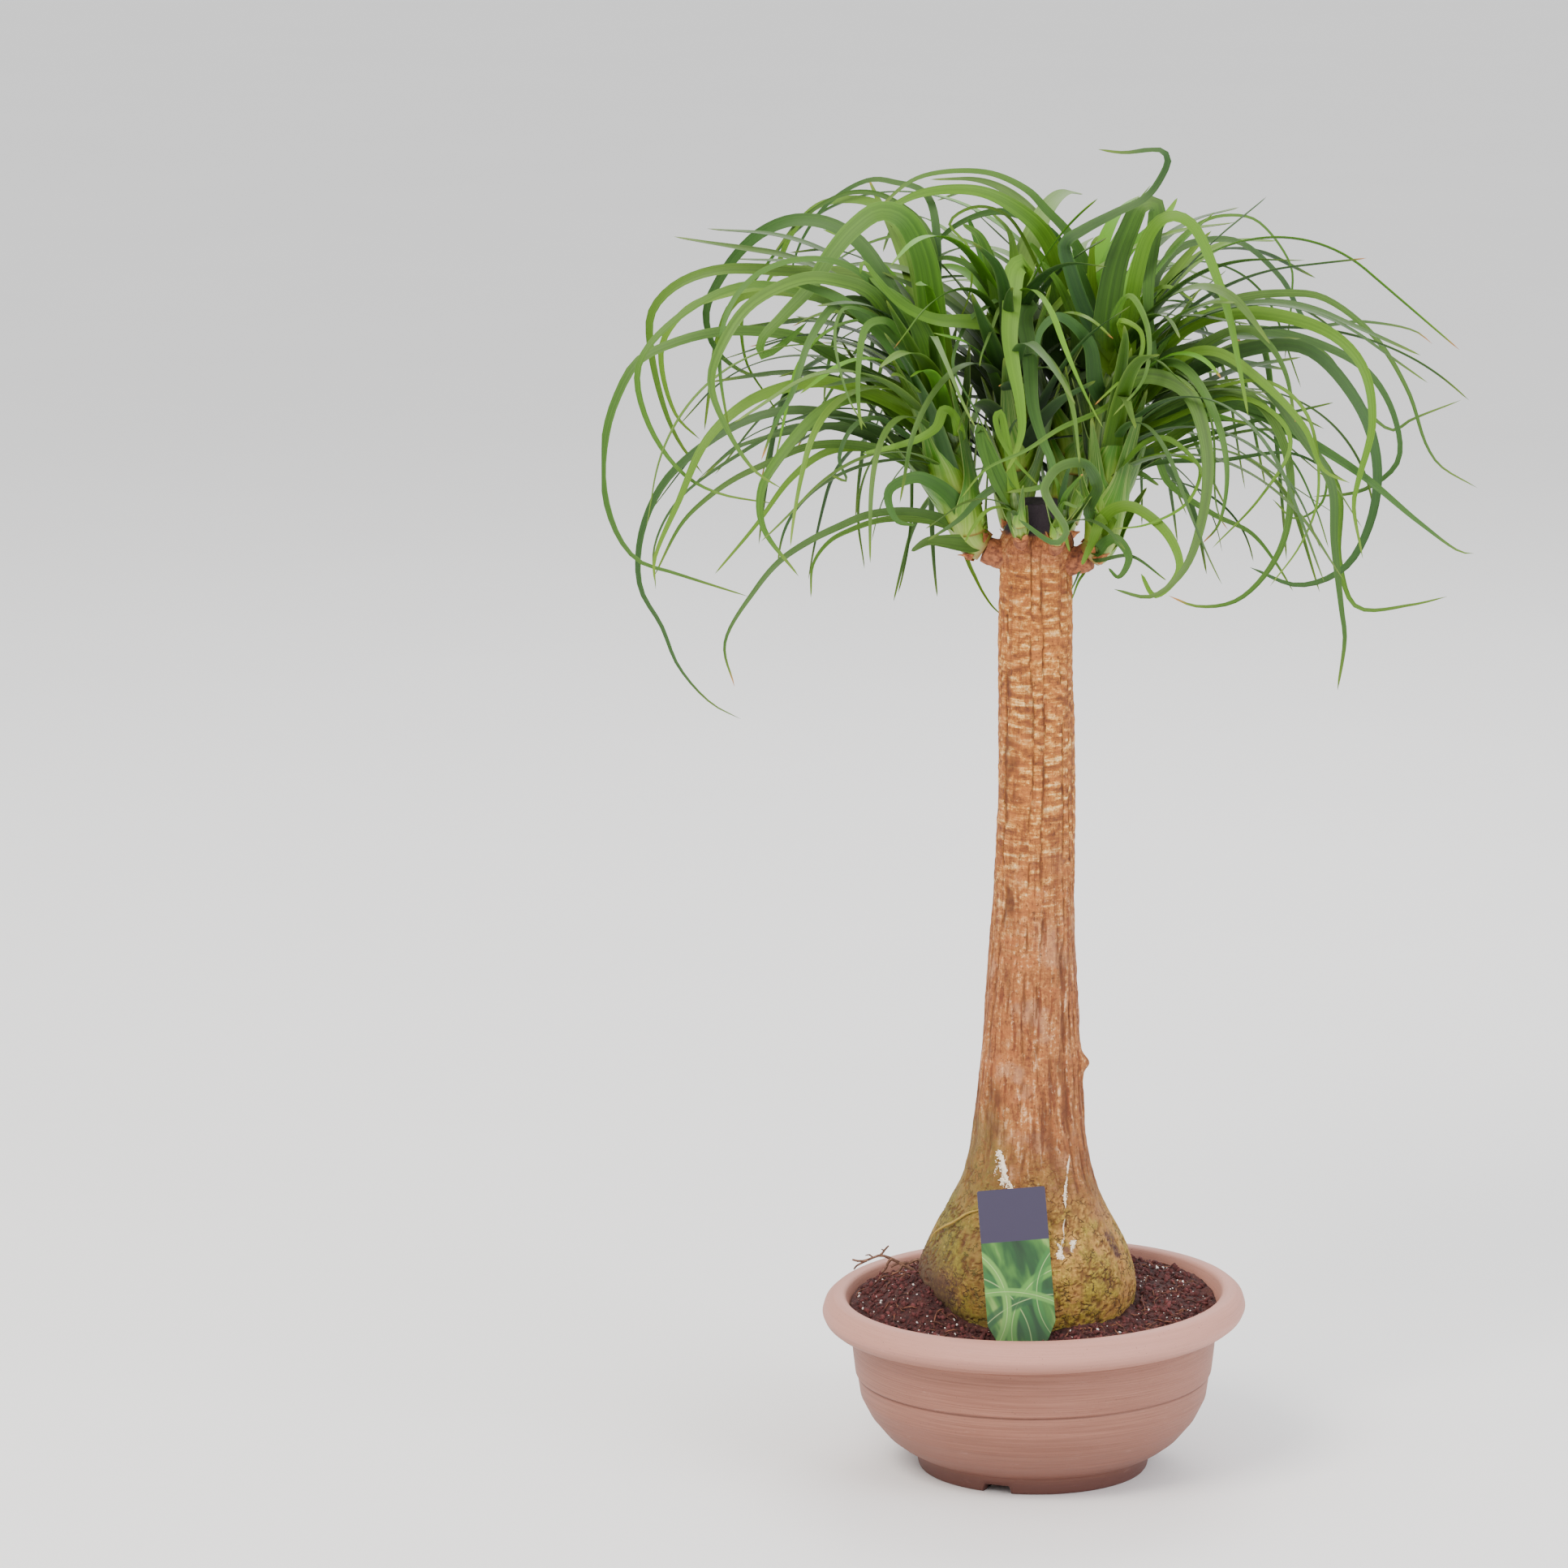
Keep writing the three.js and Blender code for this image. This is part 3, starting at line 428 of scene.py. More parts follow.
# The bowl: its outline as radius and height, from the middle of the underside up the outside, over the
# rim and down to the inside floor. The soft bowl stands a little higher at the right: "tilt" is the rise.
pot = {
    "sides": 288, "cut": 2.4,
    "under": [(0, 0), (40, 0), (77, 0), (78.5, 0), (90, 0), (100, 0)],
    "outside": [(107, 0), (108.5, 2), (111.5, 16.5), (117, 18.5), (127, 24), (139, 33), (154, 51),
                (163.5, 70), (166.2, 88.8), (165.2, 90.4), (168.2, 91.6), (170.5, 111), (173, 136),
                (176.5, 139.5), (189, 139), (196.5, 145), (200, 153), (197, 163), (190, 169), (183, 170),
                (178, 168.5), (176, 163)],
    "inside": [(171.5, 146), (168, 124), (162, 92), (158, 70), (147, 50), (132, 33), (120, 23), (103, 9),
               (40, 9), (0, 9)],
    "channels": 3, "turn": 10, "channelWide": 26, "channelHigh": 8, "channelFrom": 78,
    "tilt": 0.022, "tiltFrom": 40, "tiltFull": 140, "groove": 90.2,
}


def potFinish():
    f = Finish("taupePlastic")
    height = f.axis(2)
    strokes = f.cloud(f.place((9, 9, 900)), 1.0, 5, 0.65)
    wide = f.cloud(f.place((3, 3, 90)), 1.0, 4, 0.5)
    patches = f.cloud(f.place(), 14.0, 4, 0.6)
    specks = f.step(f.cloud(f.place(), 620.0, 2, 0.4), 0.70, 0.76)
    scuffs = f.step(f.cloud(f.place((1, 1, 6)), 40.0, 6, 0.7, 0.6), 0.60, 0.74)
    base = f.blend(f.step(strokes, 0.3, 0.7), "#80503f", "#9a6755")
    base = f.blend(f.step(wide, 0.35, 0.7) * 0.14, base, "#7a483c")
    base = f.blend(f.step(patches, 0.45, 0.8) * 0.25, base, "#956457")
    # painted light: the rim lighter, as if lit from above, with the strokes showing through
    base = f.blend(f.step(height, 0.134, 0.155) * (0.62 + 0.32 * strokes), base, "#c28c7d")
    # painted shade: the lower bowl darker, and the foot darkest, as if turned away from the light
    base = f.blend((1 - f.step(height, 0.0, 0.10)) * 0.56, base, "#563026")
    base = f.blend((1 - f.step(height, 0.006, 0.023)) * 0.62, base, "#4a2622")
    # painted shade: a thin dark line along the groove round the bowl
    fromGroove = (height - pot["groove"] * mm - 0.5 * pot["tilt"] * f.axis(0)) / mm
    base = f.blend((1 - f.step(fromGroove ** 2.0, 0.3, 2.4)) * 0.45, base, "#4f2c24")
    base = f.blend(scuffs * 0.18, base, "#c69c8f")
    base = f.blend(specks * 0.75, base, "#5c3d33")
    relief = strokes * 0.85 + wide * 0.15
    return f.shade(Base_Color=base, Roughness=0.46 + 0.22 * strokes, Normal=f.bump(relief, 0.0008, 0.8))


def makePot():
    wall = roundedProfile(pot["outside"] + pot["inside"][:-1], pot["cut"])
    profile = pot["under"] + wall + pot["inside"][-1:]
    points, faces = turnedMesh(profile, pot["sides"])
    for i in range(pot["channels"]):
        angle = math.radians(pot["turn"]) + 2 * math.pi * i / pot["channels"]
        side = -points[:, 0] * math.sin(angle) + points[:, 1] * math.cos(angle)
        ahead = points[:, 0] * math.cos(angle) + points[:, 1] * math.sin(angle)
        inChannel = ((points[:, 2] < pot["channelHigh"]) & (ahead > pot["channelFrom"])
                     & (np.abs(side) < pot["channelWide"] / 2))
        points[inChannel, 2] = pot["channelHigh"]
    points[:, 2] += pot["tilt"] * points[:, 0] * smooth(pot["tiltFrom"], pot["tiltFull"], points[:, 2])
    settle(meshPiece("bowlPot", points, faces, potFinish()), "pot", "pot")


makePot()
print("stage: pot")


# The leaves grow by the same rules as the model's own blades: traced ones first, then those set by rule.
leafRule = {
    "keel": 1.5, "keelFrom": 0.5, "keelShare": 0.12, "taper": (2.6, 0.9), "bow": 1.15, "steps": 48,
    "rootFrom": 0.06, "rootTo": 0.96, "rootLength": 25, "rootBelow": 14, "rootRun": 40, "stemStep": 0.02,
    "goldenShare": 0.618034, "cell": 5, "reach": 200, "cutBase": 902, "cutTop": 925, "trunkAt": -2,
    "frontWide": 120, "frontTo": 60, "backLower": 0.2, "short": 200,
    "attempts": 16, "seed": 5000, "shootSeed": 400, "leafSeed": 20,
    "shifts": [0, 14, -14, 28, -28, 42, -42, 60, -60, 80, -80, 100, -100, 120, -120],
    "crown": (412, 365), "gap": 0.4, "tip": 1.4,
}
bigCrown = {"sides": 835, "middle": 925}
smallCrown = {"sides": 850, "middle": 872}

# Each shoot: where its stub ends on the trunk, the way it sets off, the stub's radius, the stem, its
# radii along the way, and how many leaves are set by rule, from which bearing on and over how wide a
# sector, how long, how far from upright, and how low they may hang.
shoots = {
    "left": {
        "foot": (-50, -2, 879), "heading": (-0.93, 0, 0.36), "stub": 13,
        "stem": [(-61, -1, 887), (-70, 0, 914), (-79, 0, 940), (-86, 2, 975),
                 (-92, 4, 1012), (-99, 6, 1052)],
        "radii": [14, 18, 20, 20, 18, 14, 8],
        "count": 12, "from": 92, "sweep": 176, "length": (250, 440),
        "rise": (14, 66), "lowest": bigCrown,
    },
    "right": {
        "foot": (46, -12, 874), "heading": (0.9, -0.25, 0.36), "stub": 13,
        "stem": [(55, -13, 884), (61, -9, 911), (64, -3, 950), (66, 2, 990),
                 (69, 5, 1022), (78, 8, 1066)],
        "radii": [14, 18, 19, 19, 18, 14, 8],
        "count": 12, "from": -88, "sweep": 176, "length": (250, 440),
        "rise": (14, 66), "lowest": bigCrown,
    },
    "centre": {
        "foot": (-17, 43, 886), "heading": (-0.25, 0.78, 0.57), "stub": 11,
        "stem": [(-20, 51, 896), (-22, 53, 925), (-23, 46, 965), (-25, 42, 1005),
                 (-28, 38, 1050), (-30, 34, 1088)],
        "radii": [13, 17, 18, 18, 17, 13, 8],
        "count": 20, "from": 60, "sweep": 330, "length": (230, 380),
        "rise": (8, 52), "lowest": bigCrown,
    },
    "back": {
        "foot": (17, 45, 882), "heading": (0.3, 0.85, 0.43), "stub": 11,
        "stem": [(22, 56, 889), (28, 68, 914), (34, 79, 950), (38, 86, 990),
                 (43, 92, 1025), (47, 98, 1062)],
        "radii": [13, 17, 18, 18, 17, 13, 8],
        "count": 26, "from": 18, "sweep": 144, "length": (300, 500),
        "rise": (10, 68), "lowest": bigCrown,
    },
    "front_left": {
        "foot": (-18, -37, 897), "heading": (-0.1, -0.72, 0.68), "stub": 7,
        "stem": [(-19, -43, 904), (-22, -47, 922), (-25, -48, 942)],
        "radii": [7, 7.5, 6.5, 4],
        "count": 5, "from": 190, "sweep": 110, "length": (90, 170),
        "rise": (20, 70), "lowest": smallCrown,
    },
    "front_right": {
        "foot": (15, -38, 892), "heading": (0.12, -0.72, 0.68), "stub": 7,
        "stem": [(16, -44, 900), (19, -48, 916), (22, -50, 934)],
        "radii": [7, 7.5, 6.5, 4],
        "count": 5, "from": 240, "sweep": 120, "length": (80, 150),
        "rise": (15, 75), "lowest": smallCrown,
    },
}

# Leaves read off the picture: the shoot, the widest and the tip in millimetres, how far the tip
# stands behind (+) or before (-) its root, then the picture's columns and rows in turn.
tracedLeaves = [
    ("left", 11, 1.2, -40, [1140, 500, 1033, 442, 981, 415, 891, 408, 823, 425, 785, 446, 761, 487,
        747, 532, 743, 595, 761, 659, 787, 691, 831, 706, 922, 735]),
    ("left", 12, 2, 60, [1150, 440, 1105, 365, 1060, 340, 981, 334, 881, 333, 829, 354, 803, 385,
        801, 423, 817, 498, 836, 543, 866, 584]),
    ("left", 14, 2, 90, [1110, 380, 1060, 300, 1020, 275, 978, 271, 942, 284, 914, 307, 888, 342,
        870, 385, 883, 432, 926, 462, 971, 457]),
    ("left", 28, 7, -60, [1150, 400, 1136, 310, 1112, 268, 1084, 260, 1054, 279, 1025, 312, 997, 355,
        966, 388, 938, 420, 938, 438, 966, 423, 994, 397]),
    ("left", 15, 1.5, -90, [1165, 560, 1143, 525, 1102, 497, 1050, 477, 1009, 470, 964, 478, 919, 497,
        871, 542, 836, 618, 806, 692, 808, 722]),
    ("left", 9, 1.2, 40, [1160, 580, 1105, 543, 1050, 527, 1015, 525, 974, 532, 933, 542, 905, 553,
        864, 590]),
    ("left", 9, 1.2, -30, [1160, 595, 1098, 559, 1060, 549, 1022, 547, 988, 552, 947, 570, 905, 590,
        871, 614, 840, 645, 806, 710]),
    ("left", 9, 1.5, 20, [1165, 600, 1120, 563, 1060, 551, 1016, 558, 974, 590, 933, 645, 881, 707]),
    ("left", 8, 1.2, -70, [1167, 642, 1136, 632, 1102, 630, 1067, 635, 1033, 649, 998, 666, 961, 691,
        931, 726, 893, 793, 905, 846]),
    ("left", 7, 1.2, 70, [1164, 646, 1119, 639, 1084, 641, 1050, 652, 1022, 667, 1002, 695, 999, 736]),
    ("left", 14, 4, -55, [1183, 626, 1166, 606, 1146, 593, 1128, 588, 1098, 601, 1094, 614, 1106, 642,
        1128, 647]),
    ("left", 20, 8, -25, [1195, 670, 1164, 667, 1143, 667, 1123, 679]),
    ("left", 11, 5, -110, [1182, 540, 1172, 508, 1163, 505, 1154, 526, 1133, 540, 1106, 549, 1063, 559]),
    ("left", 10, 1.5, -120, [1105, 400, 1060, 370, 1030, 375, 997, 421, 985, 456, 975, 487, 956, 520,
        938, 567]),
    ("left", 15, 1.5, -100, [1120, 520, 1080, 492, 1044, 491, 1008, 510, 957, 568, 938, 604, 940, 649,
        984, 710]),
    ("left", 10, 2, 120, [1100, 400, 1000, 365, 940, 360, 905, 372, 884, 420, 873, 490, 868, 530]),
    ("left", 8, 1.5, -140, [1110, 390, 1050, 330, 990, 319, 933, 338, 898, 380, 887, 432, 888, 468,
        899, 534]),
    ("left", 15, 1.2, -160, [1120, 430, 1072, 360, 1030, 345, 990, 343, 926, 374, 893, 418, 876, 470,
        895, 527, 930, 580, 965, 603]),
    ("left", 8, 1.5, 130, [1145, 245, 1100, 224, 1070, 222, 1020, 251, 987, 298, 973, 340]),
    ("left", 7, 1.2, 60, [1145, 290, 1100, 247, 1072, 237, 1037, 240, 987, 270, 952, 314]),
    ("left", 14, 3, 160, [1120, 300, 1080, 252, 1037, 246, 1005, 255, 975, 288, 956, 331, 942, 352]),
    ("left", 9, 1.2, 10, [1130, 560, 1060, 520, 980, 505, 915, 520, 845, 566, 812, 604, 789, 663,
        789, 724, 815, 771, 836, 821, 876, 866, 913, 886]),
    ("left", 9, 1.2, -85, [1120, 420, 1000, 365, 930, 350, 870, 368, 800, 425, 785, 462, 801, 527,
        841, 583, 883, 607, 957, 621]),
    ("left", 10, 2, 20, [1120, 430, 1010, 365, 950, 352, 900, 360, 848, 380, 818, 418, 815, 451, 834, 513,
        862, 541]),
    ("left", 24, 10, -75, [1150, 500, 1125, 463, 1100, 425, 1064, 390, 1033, 368, 970, 345]),
    ("left", 30, 12, -45, [1155, 480, 1136, 411, 1115, 377, 1071, 342]),
    ("left", 6, 2, -60, [1130, 545, 1080, 515, 1052, 525, 1034, 565, 1043, 592, 1023, 585]),
    ("left", 9, 2, -150, [1125, 430, 1090, 395, 1068, 402, 1058, 450, 1058, 500, 1062, 530]),
    ("left", 5, 1.2, 95, [1060, 380, 1000, 352, 950, 360, 918, 380, 919, 444, 947, 491, 971, 529]),
    ("left", 6, 1.2, 90, [1130, 575, 1060, 535, 980, 525, 910, 560, 834, 618, 806, 675, 808, 726]),
    ("centre", 20, 7, -60, [1225, 400, 1189, 396, 1156, 394, 1123, 382, 1098, 364, 1078, 340, 1063, 322,
        1060, 338]),
    ("centre", 12, 4, 10, [1231, 380, 1224, 353, 1205, 300, 1193, 268]),
    ("centre", 9, 2, -20, [1235, 385, 1215, 350, 1190, 325, 1160, 318, 1140, 335]),
    ("centre", 25, 2, -110, [1240, 372, 1262, 325, 1252, 330, 1246, 381, 1244, 414, 1248, 447, 1256, 491,
        1259, 530, 1250, 562, 1239, 583]),
    ("centre", 17, 2, -100, [1250, 400, 1270, 373, 1262, 388, 1268, 430, 1273, 501, 1285, 543, 1297, 575,
        1290, 596, 1240, 607]),
    ("centre", 22, 6, -40, [1238, 400, 1222, 330, 1206, 290, 1186, 276]),
    ("centre", 16, 5, 60, [1240, 400, 1250, 330, 1243, 285, 1222, 262]),
    ("back", 10, 2, -60, [1345, 350, 1319, 291, 1288, 257, 1267, 235, 1219, 213, 1153, 213, 1119, 225,
        1078, 262]),
    ("back", 20, 4, -80, [1310, 360, 1298, 310, 1275, 275, 1222, 240, 1181, 233, 1129, 240, 1070, 272]),
    ("back", 10, 1.5, -20, [1320, 350, 1305, 300, 1290, 283, 1256, 265, 1222, 261, 1173, 281, 1143, 316,
        1140, 340]),
    ("back", 18, 7, -40, [1300, 440, 1297, 370, 1285, 320, 1268, 298]),
    ("back", 14, 5, -60, [1347, 400, 1345, 340, 1347, 300, 1354, 290]),
    ("back", 12, 4, -90, [1350, 400, 1343, 365, 1322, 306]),
    ("back", 16, 6, -110, [1330, 450, 1325, 400, 1305, 350, 1284, 322]),
    ("front_left", 8, 1.5, -75, [1249, 600, 1240, 598, 1224, 602, 1206, 615, 1183, 639, 1143, 666]),
    ("front_left", 10, 3, -20, [1235, 590, 1215, 545, 1207, 527, 1208, 545, 1222, 589, 1247, 632]),
    ("front_left", 7, 1.5, -30, [1240, 540, 1232, 508, 1227, 513, 1231, 535, 1247, 563, 1279, 598]),
    ("front_left", 5, 1.2, -20, [1246, 585, 1240, 550, 1250, 520, 1262, 512]),
    ("front_right", 6, 1.5, -10, [1307, 612, 1303, 596, 1294, 578]),
    ("front_right", 7, 1.5, -12, [1309, 612, 1313, 590, 1320, 568]),
    ("front_right", 6, 1.5, -20, [1312, 612, 1322, 598, 1334, 584]),
    ("right", 14, 2, -30, [1345, 400, 1318, 330, 1312, 300, 1335, 283, 1375, 262, 1412, 243, 1431, 218,
        1439, 196, 1431, 185, 1384, 188, 1353, 184]),
    ("right", 27, 12, -50, [1365, 430, 1372, 340, 1390, 285, 1408, 252, 1424, 252, 1420, 300, 1415, 350,
        1416, 390, 1426, 456]),
    ("right", 14, 2, -110, [1385, 440, 1400, 340, 1415, 290, 1432, 270, 1449, 266, 1470, 278, 1503, 352,
        1516, 396, 1527, 452, 1538, 513]),
    ("right", 9, 1.2, 60, [1405, 430, 1425, 340, 1450, 308, 1484, 296, 1527, 298, 1579, 343, 1614, 398,
        1679, 396, 1744, 408, 1765, 424]),
    ("right", 9, 1.2, 20, [1410, 450, 1470, 400, 1518, 370, 1592, 361, 1631, 367, 1692, 413, 1735, 482,
        1757, 547, 1774, 573, 1820, 601]),
    ("right", 15, 1.5, -60, [1400, 470, 1422, 436, 1480, 393, 1557, 386, 1640, 411, 1679, 452, 1691, 520,
        1674, 591, 1668, 621, 1679, 688]),
    ("right", 12, 1.5, 120, [1420, 480, 1480, 430, 1527, 408, 1605, 417, 1683, 456, 1718, 513, 1722, 569,
        1679, 604, 1618, 612]),
    ("right", 10, 1.2, 150, [1420, 480, 1530, 425, 1590, 420, 1631, 436, 1674, 495, 1716, 530, 1739, 517,
        1800, 493]),
    ("right", 15, 2, -20, [1420, 480, 1540, 430, 1610, 430, 1672, 495, 1696, 565, 1690, 638, 1657, 699,
        1601, 721, 1540, 699]),
    ("right", 13, 2, -90, [1410, 480, 1440, 440, 1484, 432, 1557, 474, 1605, 539, 1640, 595, 1644, 669,
        1653, 751, 1657, 786, 1648, 850]),
    ("right", 10, 1.2, 60, [1410, 560, 1520, 500, 1580, 520, 1647, 600, 1650, 690, 1672, 748, 1740, 745,
        1783, 735]),
    ("right", 12, 1.2, -50, [1400, 540, 1458, 495, 1510, 493, 1596, 534, 1679, 586, 1748, 643, 1800, 680,
        1816, 682]),
    ("right", 15, 3, -170, [1375, 520, 1388, 474, 1414, 463, 1462, 482, 1486, 547, 1484, 625, 1458, 703,
        1418, 735, 1373, 726]),
    ("right", 11, 5, -80, [1358, 640, 1375, 626, 1397, 625, 1440, 660, 1453, 703, 1423, 734, 1406, 707]),
    ("right", 10, 4, -40, [1352, 680, 1362, 668, 1375, 664, 1391, 687, 1378, 711, 1366, 700]),
    ("right", 10, 1.5, -110, [1400, 520, 1500, 480, 1550, 495, 1588, 570, 1579, 673, 1527, 738, 1475, 747,
        1440, 734]),
    ("right", 16, 10, -30, [1352, 660, 1367, 640, 1358, 640, 1346, 667, 1333, 696]),
    ("right", 11, 5, -65, [1342, 628, 1352, 600, 1335, 571, 1303, 577, 1287, 603, 1294, 620, 1314, 656,
        1301, 669, 1255, 640]),
    ("right", 5, 1.2, -130, [1381, 492, 1348, 510, 1306, 528, 1264, 555, 1214, 579, 1184, 614]),
    ("right", 6, 1.5, 40, [1440, 550, 1540, 520, 1583, 510, 1643, 496]),
    ("right", 12, 2, -70, [1420, 480, 1490, 420, 1535, 405, 1560, 420, 1583, 457, 1596, 520]),
    ("right", 12, 1.5, -120, [1410, 490, 1462, 437, 1501, 434, 1560, 475, 1608, 528, 1631, 579,
        1663, 595]),
    ("right", 13, 2, -40, [1410, 540, 1490, 500, 1542, 502, 1598, 533, 1635, 590, 1647, 640]),
    ("right", 7, 1.2, 70, [1420, 560, 1440, 595, 1496, 634, 1542, 657, 1573, 695, 1593, 728]),
    ("right", 6, 1.2, -100, [1430, 520, 1530, 490, 1580, 520, 1590, 550, 1552, 614, 1494, 675]),
    ("right", 9, 1.5, -140, [1400, 480, 1440, 446, 1466, 459, 1499, 516, 1512, 585, 1501, 647,
        1481, 670]),
    ("right", 10, 2, -100, [1385, 570, 1415, 543, 1440, 541, 1478, 575, 1486, 600]),
    ("right", 5, 1.2, 50, [1370, 605, 1414, 573, 1504, 567, 1593, 559, 1660, 594]),
    ("right", 10, 2, 30, [1374, 612, 1400, 583, 1428, 598]),
    ("right", 6, 2, -40, [1400, 390, 1419, 360, 1439, 353, 1472, 371]),
    ("right", 15, 5, -80, [1352, 480, 1340, 420, 1303, 390, 1282, 408, 1277, 440]),
    ("right", 7, 1.2, -100, [1378, 430, 1372, 395, 1392, 364, 1414, 404, 1410, 465, 1371, 513]),
    ("right", 6, 1.2, -85, [1395, 450, 1380, 395, 1405, 408, 1405, 439, 1349, 499]),
]

# fine threads, read the same way
tracedThreads = [
    ("left", 4, 1.2, 15, [1188, 672, 1194, 695, 1201, 710, 1210, 728, 1222, 746, 1233, 757]),
    ("right", 3.5, 1.0, 0, [1342, 686, 1336, 705, 1329, 716, 1321, 738]),
    ("right", 3, 1.0, -6, [1340, 684, 1331, 702, 1326, 714, 1320, 727]),
    ("left", 4, 1.2, -170, [1115, 420, 1070, 385, 1040, 380, 1030, 400, 1030, 432, 1048, 496, 1068, 528]),
    ("centre", 4, 1.2, -95, [1230, 370, 1214, 379, 1194, 394, 1174, 447, 1183, 472, 1199, 500,
        1222, 548]),
    ("centre", 4, 1.2, -80, [1232, 380, 1222, 405, 1209, 439, 1207, 452]),
    ("back", 4, 1.2, -60, [1290, 350, 1240, 265, 1200, 255, 1170, 275, 1194, 306, 1196, 356, 1176, 409]),
    ("front_right", 4, 1.2, -25, [1311, 620, 1326, 624, 1334, 616, 1326, 603]),
    ("right", 4, 1.2, 100, [1410, 400, 1440, 310, 1484, 272, 1518, 265, 1549, 272, 1590, 326, 1592, 361,
        1583, 443]),
    ("right", 4, 1.2, -130, [1430, 500, 1560, 470, 1610, 510, 1624, 611, 1603, 670, 1565, 722]),
    ("right", 3, 1.2, 0, [1430, 530, 1530, 520, 1590, 565, 1621, 626, 1637, 675]),
    ("right", 4, 1.5, 30, [1430, 560, 1570, 530, 1630, 570, 1629, 619, 1596, 639, 1568, 615]),
    ("right", 4, 1.2, -70, [1440, 560, 1478, 575, 1464, 618, 1414, 646, 1371, 652]),
    ("right", 4, 1.2, -40, [1350, 690, 1393, 685, 1437, 715]),
]


def seededDraw(seed):
    # the same draws as the model's own, from 0 to 1
    state = [(seed * 2654435761 + 97) & 0xFFFFFFFF]

    def draw():
        state[0] = (state[0] * 1664525 + 1013904223) & 0xFFFFFFFF
        return state[0] / 4294967296
    return draw


class Bend:
    # a smooth curve through points, walked by its length
    def __init__(self, points):
        self.points = [np.array(p, float) for p in points]
        self.table = np.linspace(0, 1, 201)
        spots = np.array([self.atShare(t) for t in self.table])
        self.lengths = np.concatenate([[0], np.cumsum(lengthOf(spots[1:] - spots[:-1]))])

    def atShare(self, t):
        points = self.points
        last = len(points) - 1
        place = last * t
        i = int(math.floor(place))
        weight = place - i
        if i >= last:
            i, weight = last - 1, 1.0
        p1, p2 = points[i], points[i + 1]
        p0 = points[i - 1] if i > 0 else 2 * points[0] - points[1]
        p3 = points[i + 2] if i + 2 <= last else 2 * points[last] - points[last - 1]
        d0, d1, d2 = (((a - b) ** 2).sum() ** 0.25 for a, b in ((p0, p1), (p1, p2), (p2, p3)))
        t1 = ((p1 - p0) / d0 - (p2 - p0) / (d0 + d1) + (p2 - p1) / d1) * d1
        t2 = ((p2 - p1) / d1 - (p3 - p1) / (d1 + d2) + (p3 - p2) / d2) * d1
        c2 = -3 * p1 + 3 * p2 - 2 * t1 - t2
        c3 = 2 * p1 - 2 * p2 + t1 + t2
        return p1 + t1 * weight + c2 * weight ** 2 + c3 * weight ** 3

    def share(self, u):
        return float(np.interp(u * self.lengths[-1], self.lengths, self.table))

    def point(self, u):
        return self.atShare(self.share(u))

    def ahead(self, u):
        t = self.share(u)
        return unit(self.atShare(min(1, t + 0.0001)) - self.atShare(max(0, t - 0.0001)))

    def spaced(self, count):
        return np.array([self.point(i / count) for i in range(count + 1)])


def turnAbout(vectors, axes, angles):
    # each vector turned about its own unit axis
    cos, sin = np.cos(angles)[:, None], np.sin(angles)[:, None]
    along = (vectors * axes).sum(1, keepdims=True)
    return vectors * cos + np.cross(axes, vectors) * sin + axes * along * (1 - cos)


def waysAlong(path):
    # the way ahead at every point of a path
    steps = np.arange(len(path))
    return unit(path[np.minimum(len(path) - 1, steps + 1)] - path[np.maximum(0, steps - 1)])


def ringAround(centre, ahead, radius, sides):
    across = np.array([1.0, 0, 0]) if abs(ahead[1]) > 0.9 else np.array([0, 1.0, 0])
    u = unit(np.cross(across, ahead))
    v = unit(np.cross(ahead, u))
    angles = 2 * math.pi * np.arange(sides) / sides
    return centre + radius * (np.cos(angles)[:, None] * u + np.sin(angles)[:, None] * v)


def stemBend(shoot):
    foot = np.array(shoot["foot"], float) + unit(shoot["heading"]) * leafRule["gap"]
    return Bend([foot, *shoot["stem"]])


def tracedPath(stem, depth, picture, shift):
    # from the stem through the spots read off the picture, moving back or forward along the way
    spots = list(zip(picture[::2], picture[1::2]))
    start = fromPicture(*spots[0], 0)
    root = s = leafRule["rootFrom"]
    while s <= leafRule["rootTo"]:
        if stem.point(s)[2] < start[2] - leafRule["rootBelow"]:
            root = s
        s += leafRule["stemStep"]
    foot = stem.point(root)
    runs = []
    total = 0
    before = (spots[0][0] - leafRule["rootRun"], spots[0][1])
    for spot in spots:
        total += math.hypot(spot[0] - before[0], spot[1] - before[1])
        runs.append(total)
        before = spot
    placed = [fromPicture(*spot, foot[1] + (depth + shift) * math.sin(run / total * math.pi / 2))
              for spot, run in zip(spots, runs)]
    return Bend([foot, *placed]).spaced(leafRule["steps"])


def archedPath(foot, bearing, length, rise, fall, bend, curl):
    # rise and fall are how far from upright it starts and ends, in degrees
    t = (np.arange(leafRule["steps"]) + 0.5) / leafRule["steps"]
    step = length / leafRule["steps"]
    over = np.minimum(1, t / bend)
    tilt = np.radians(rise + (fall - rise) * over ** leafRule["bow"])
    turn = np.radians(bearing + curl * t * t)
    moves = step * np.stack([np.sin(tilt) * np.cos(turn), np.sin(tilt) * np.sin(turn), np.cos(tilt)], 1)
    return np.cumsum(np.concatenate([[foot], moves]), 0)


def leafWidth(t, widest, tip):
    bend, fade = leafRule["taper"]
    return tip + (widest - tip) * (1 - t ** bend) ** fade


def leafFrames(path, sideAt, twist):
    # the way across and up at every step of a path
    ahead = waysAlong(path)
    side = sideAt(ahead)
    side = unit(side - ahead * (side * ahead).sum(1, keepdims=True))
    side = turnAbout(side, ahead, np.radians(twist * np.arange(len(path)) / (len(path) - 1)))
    return side, np.cross(ahead, side)


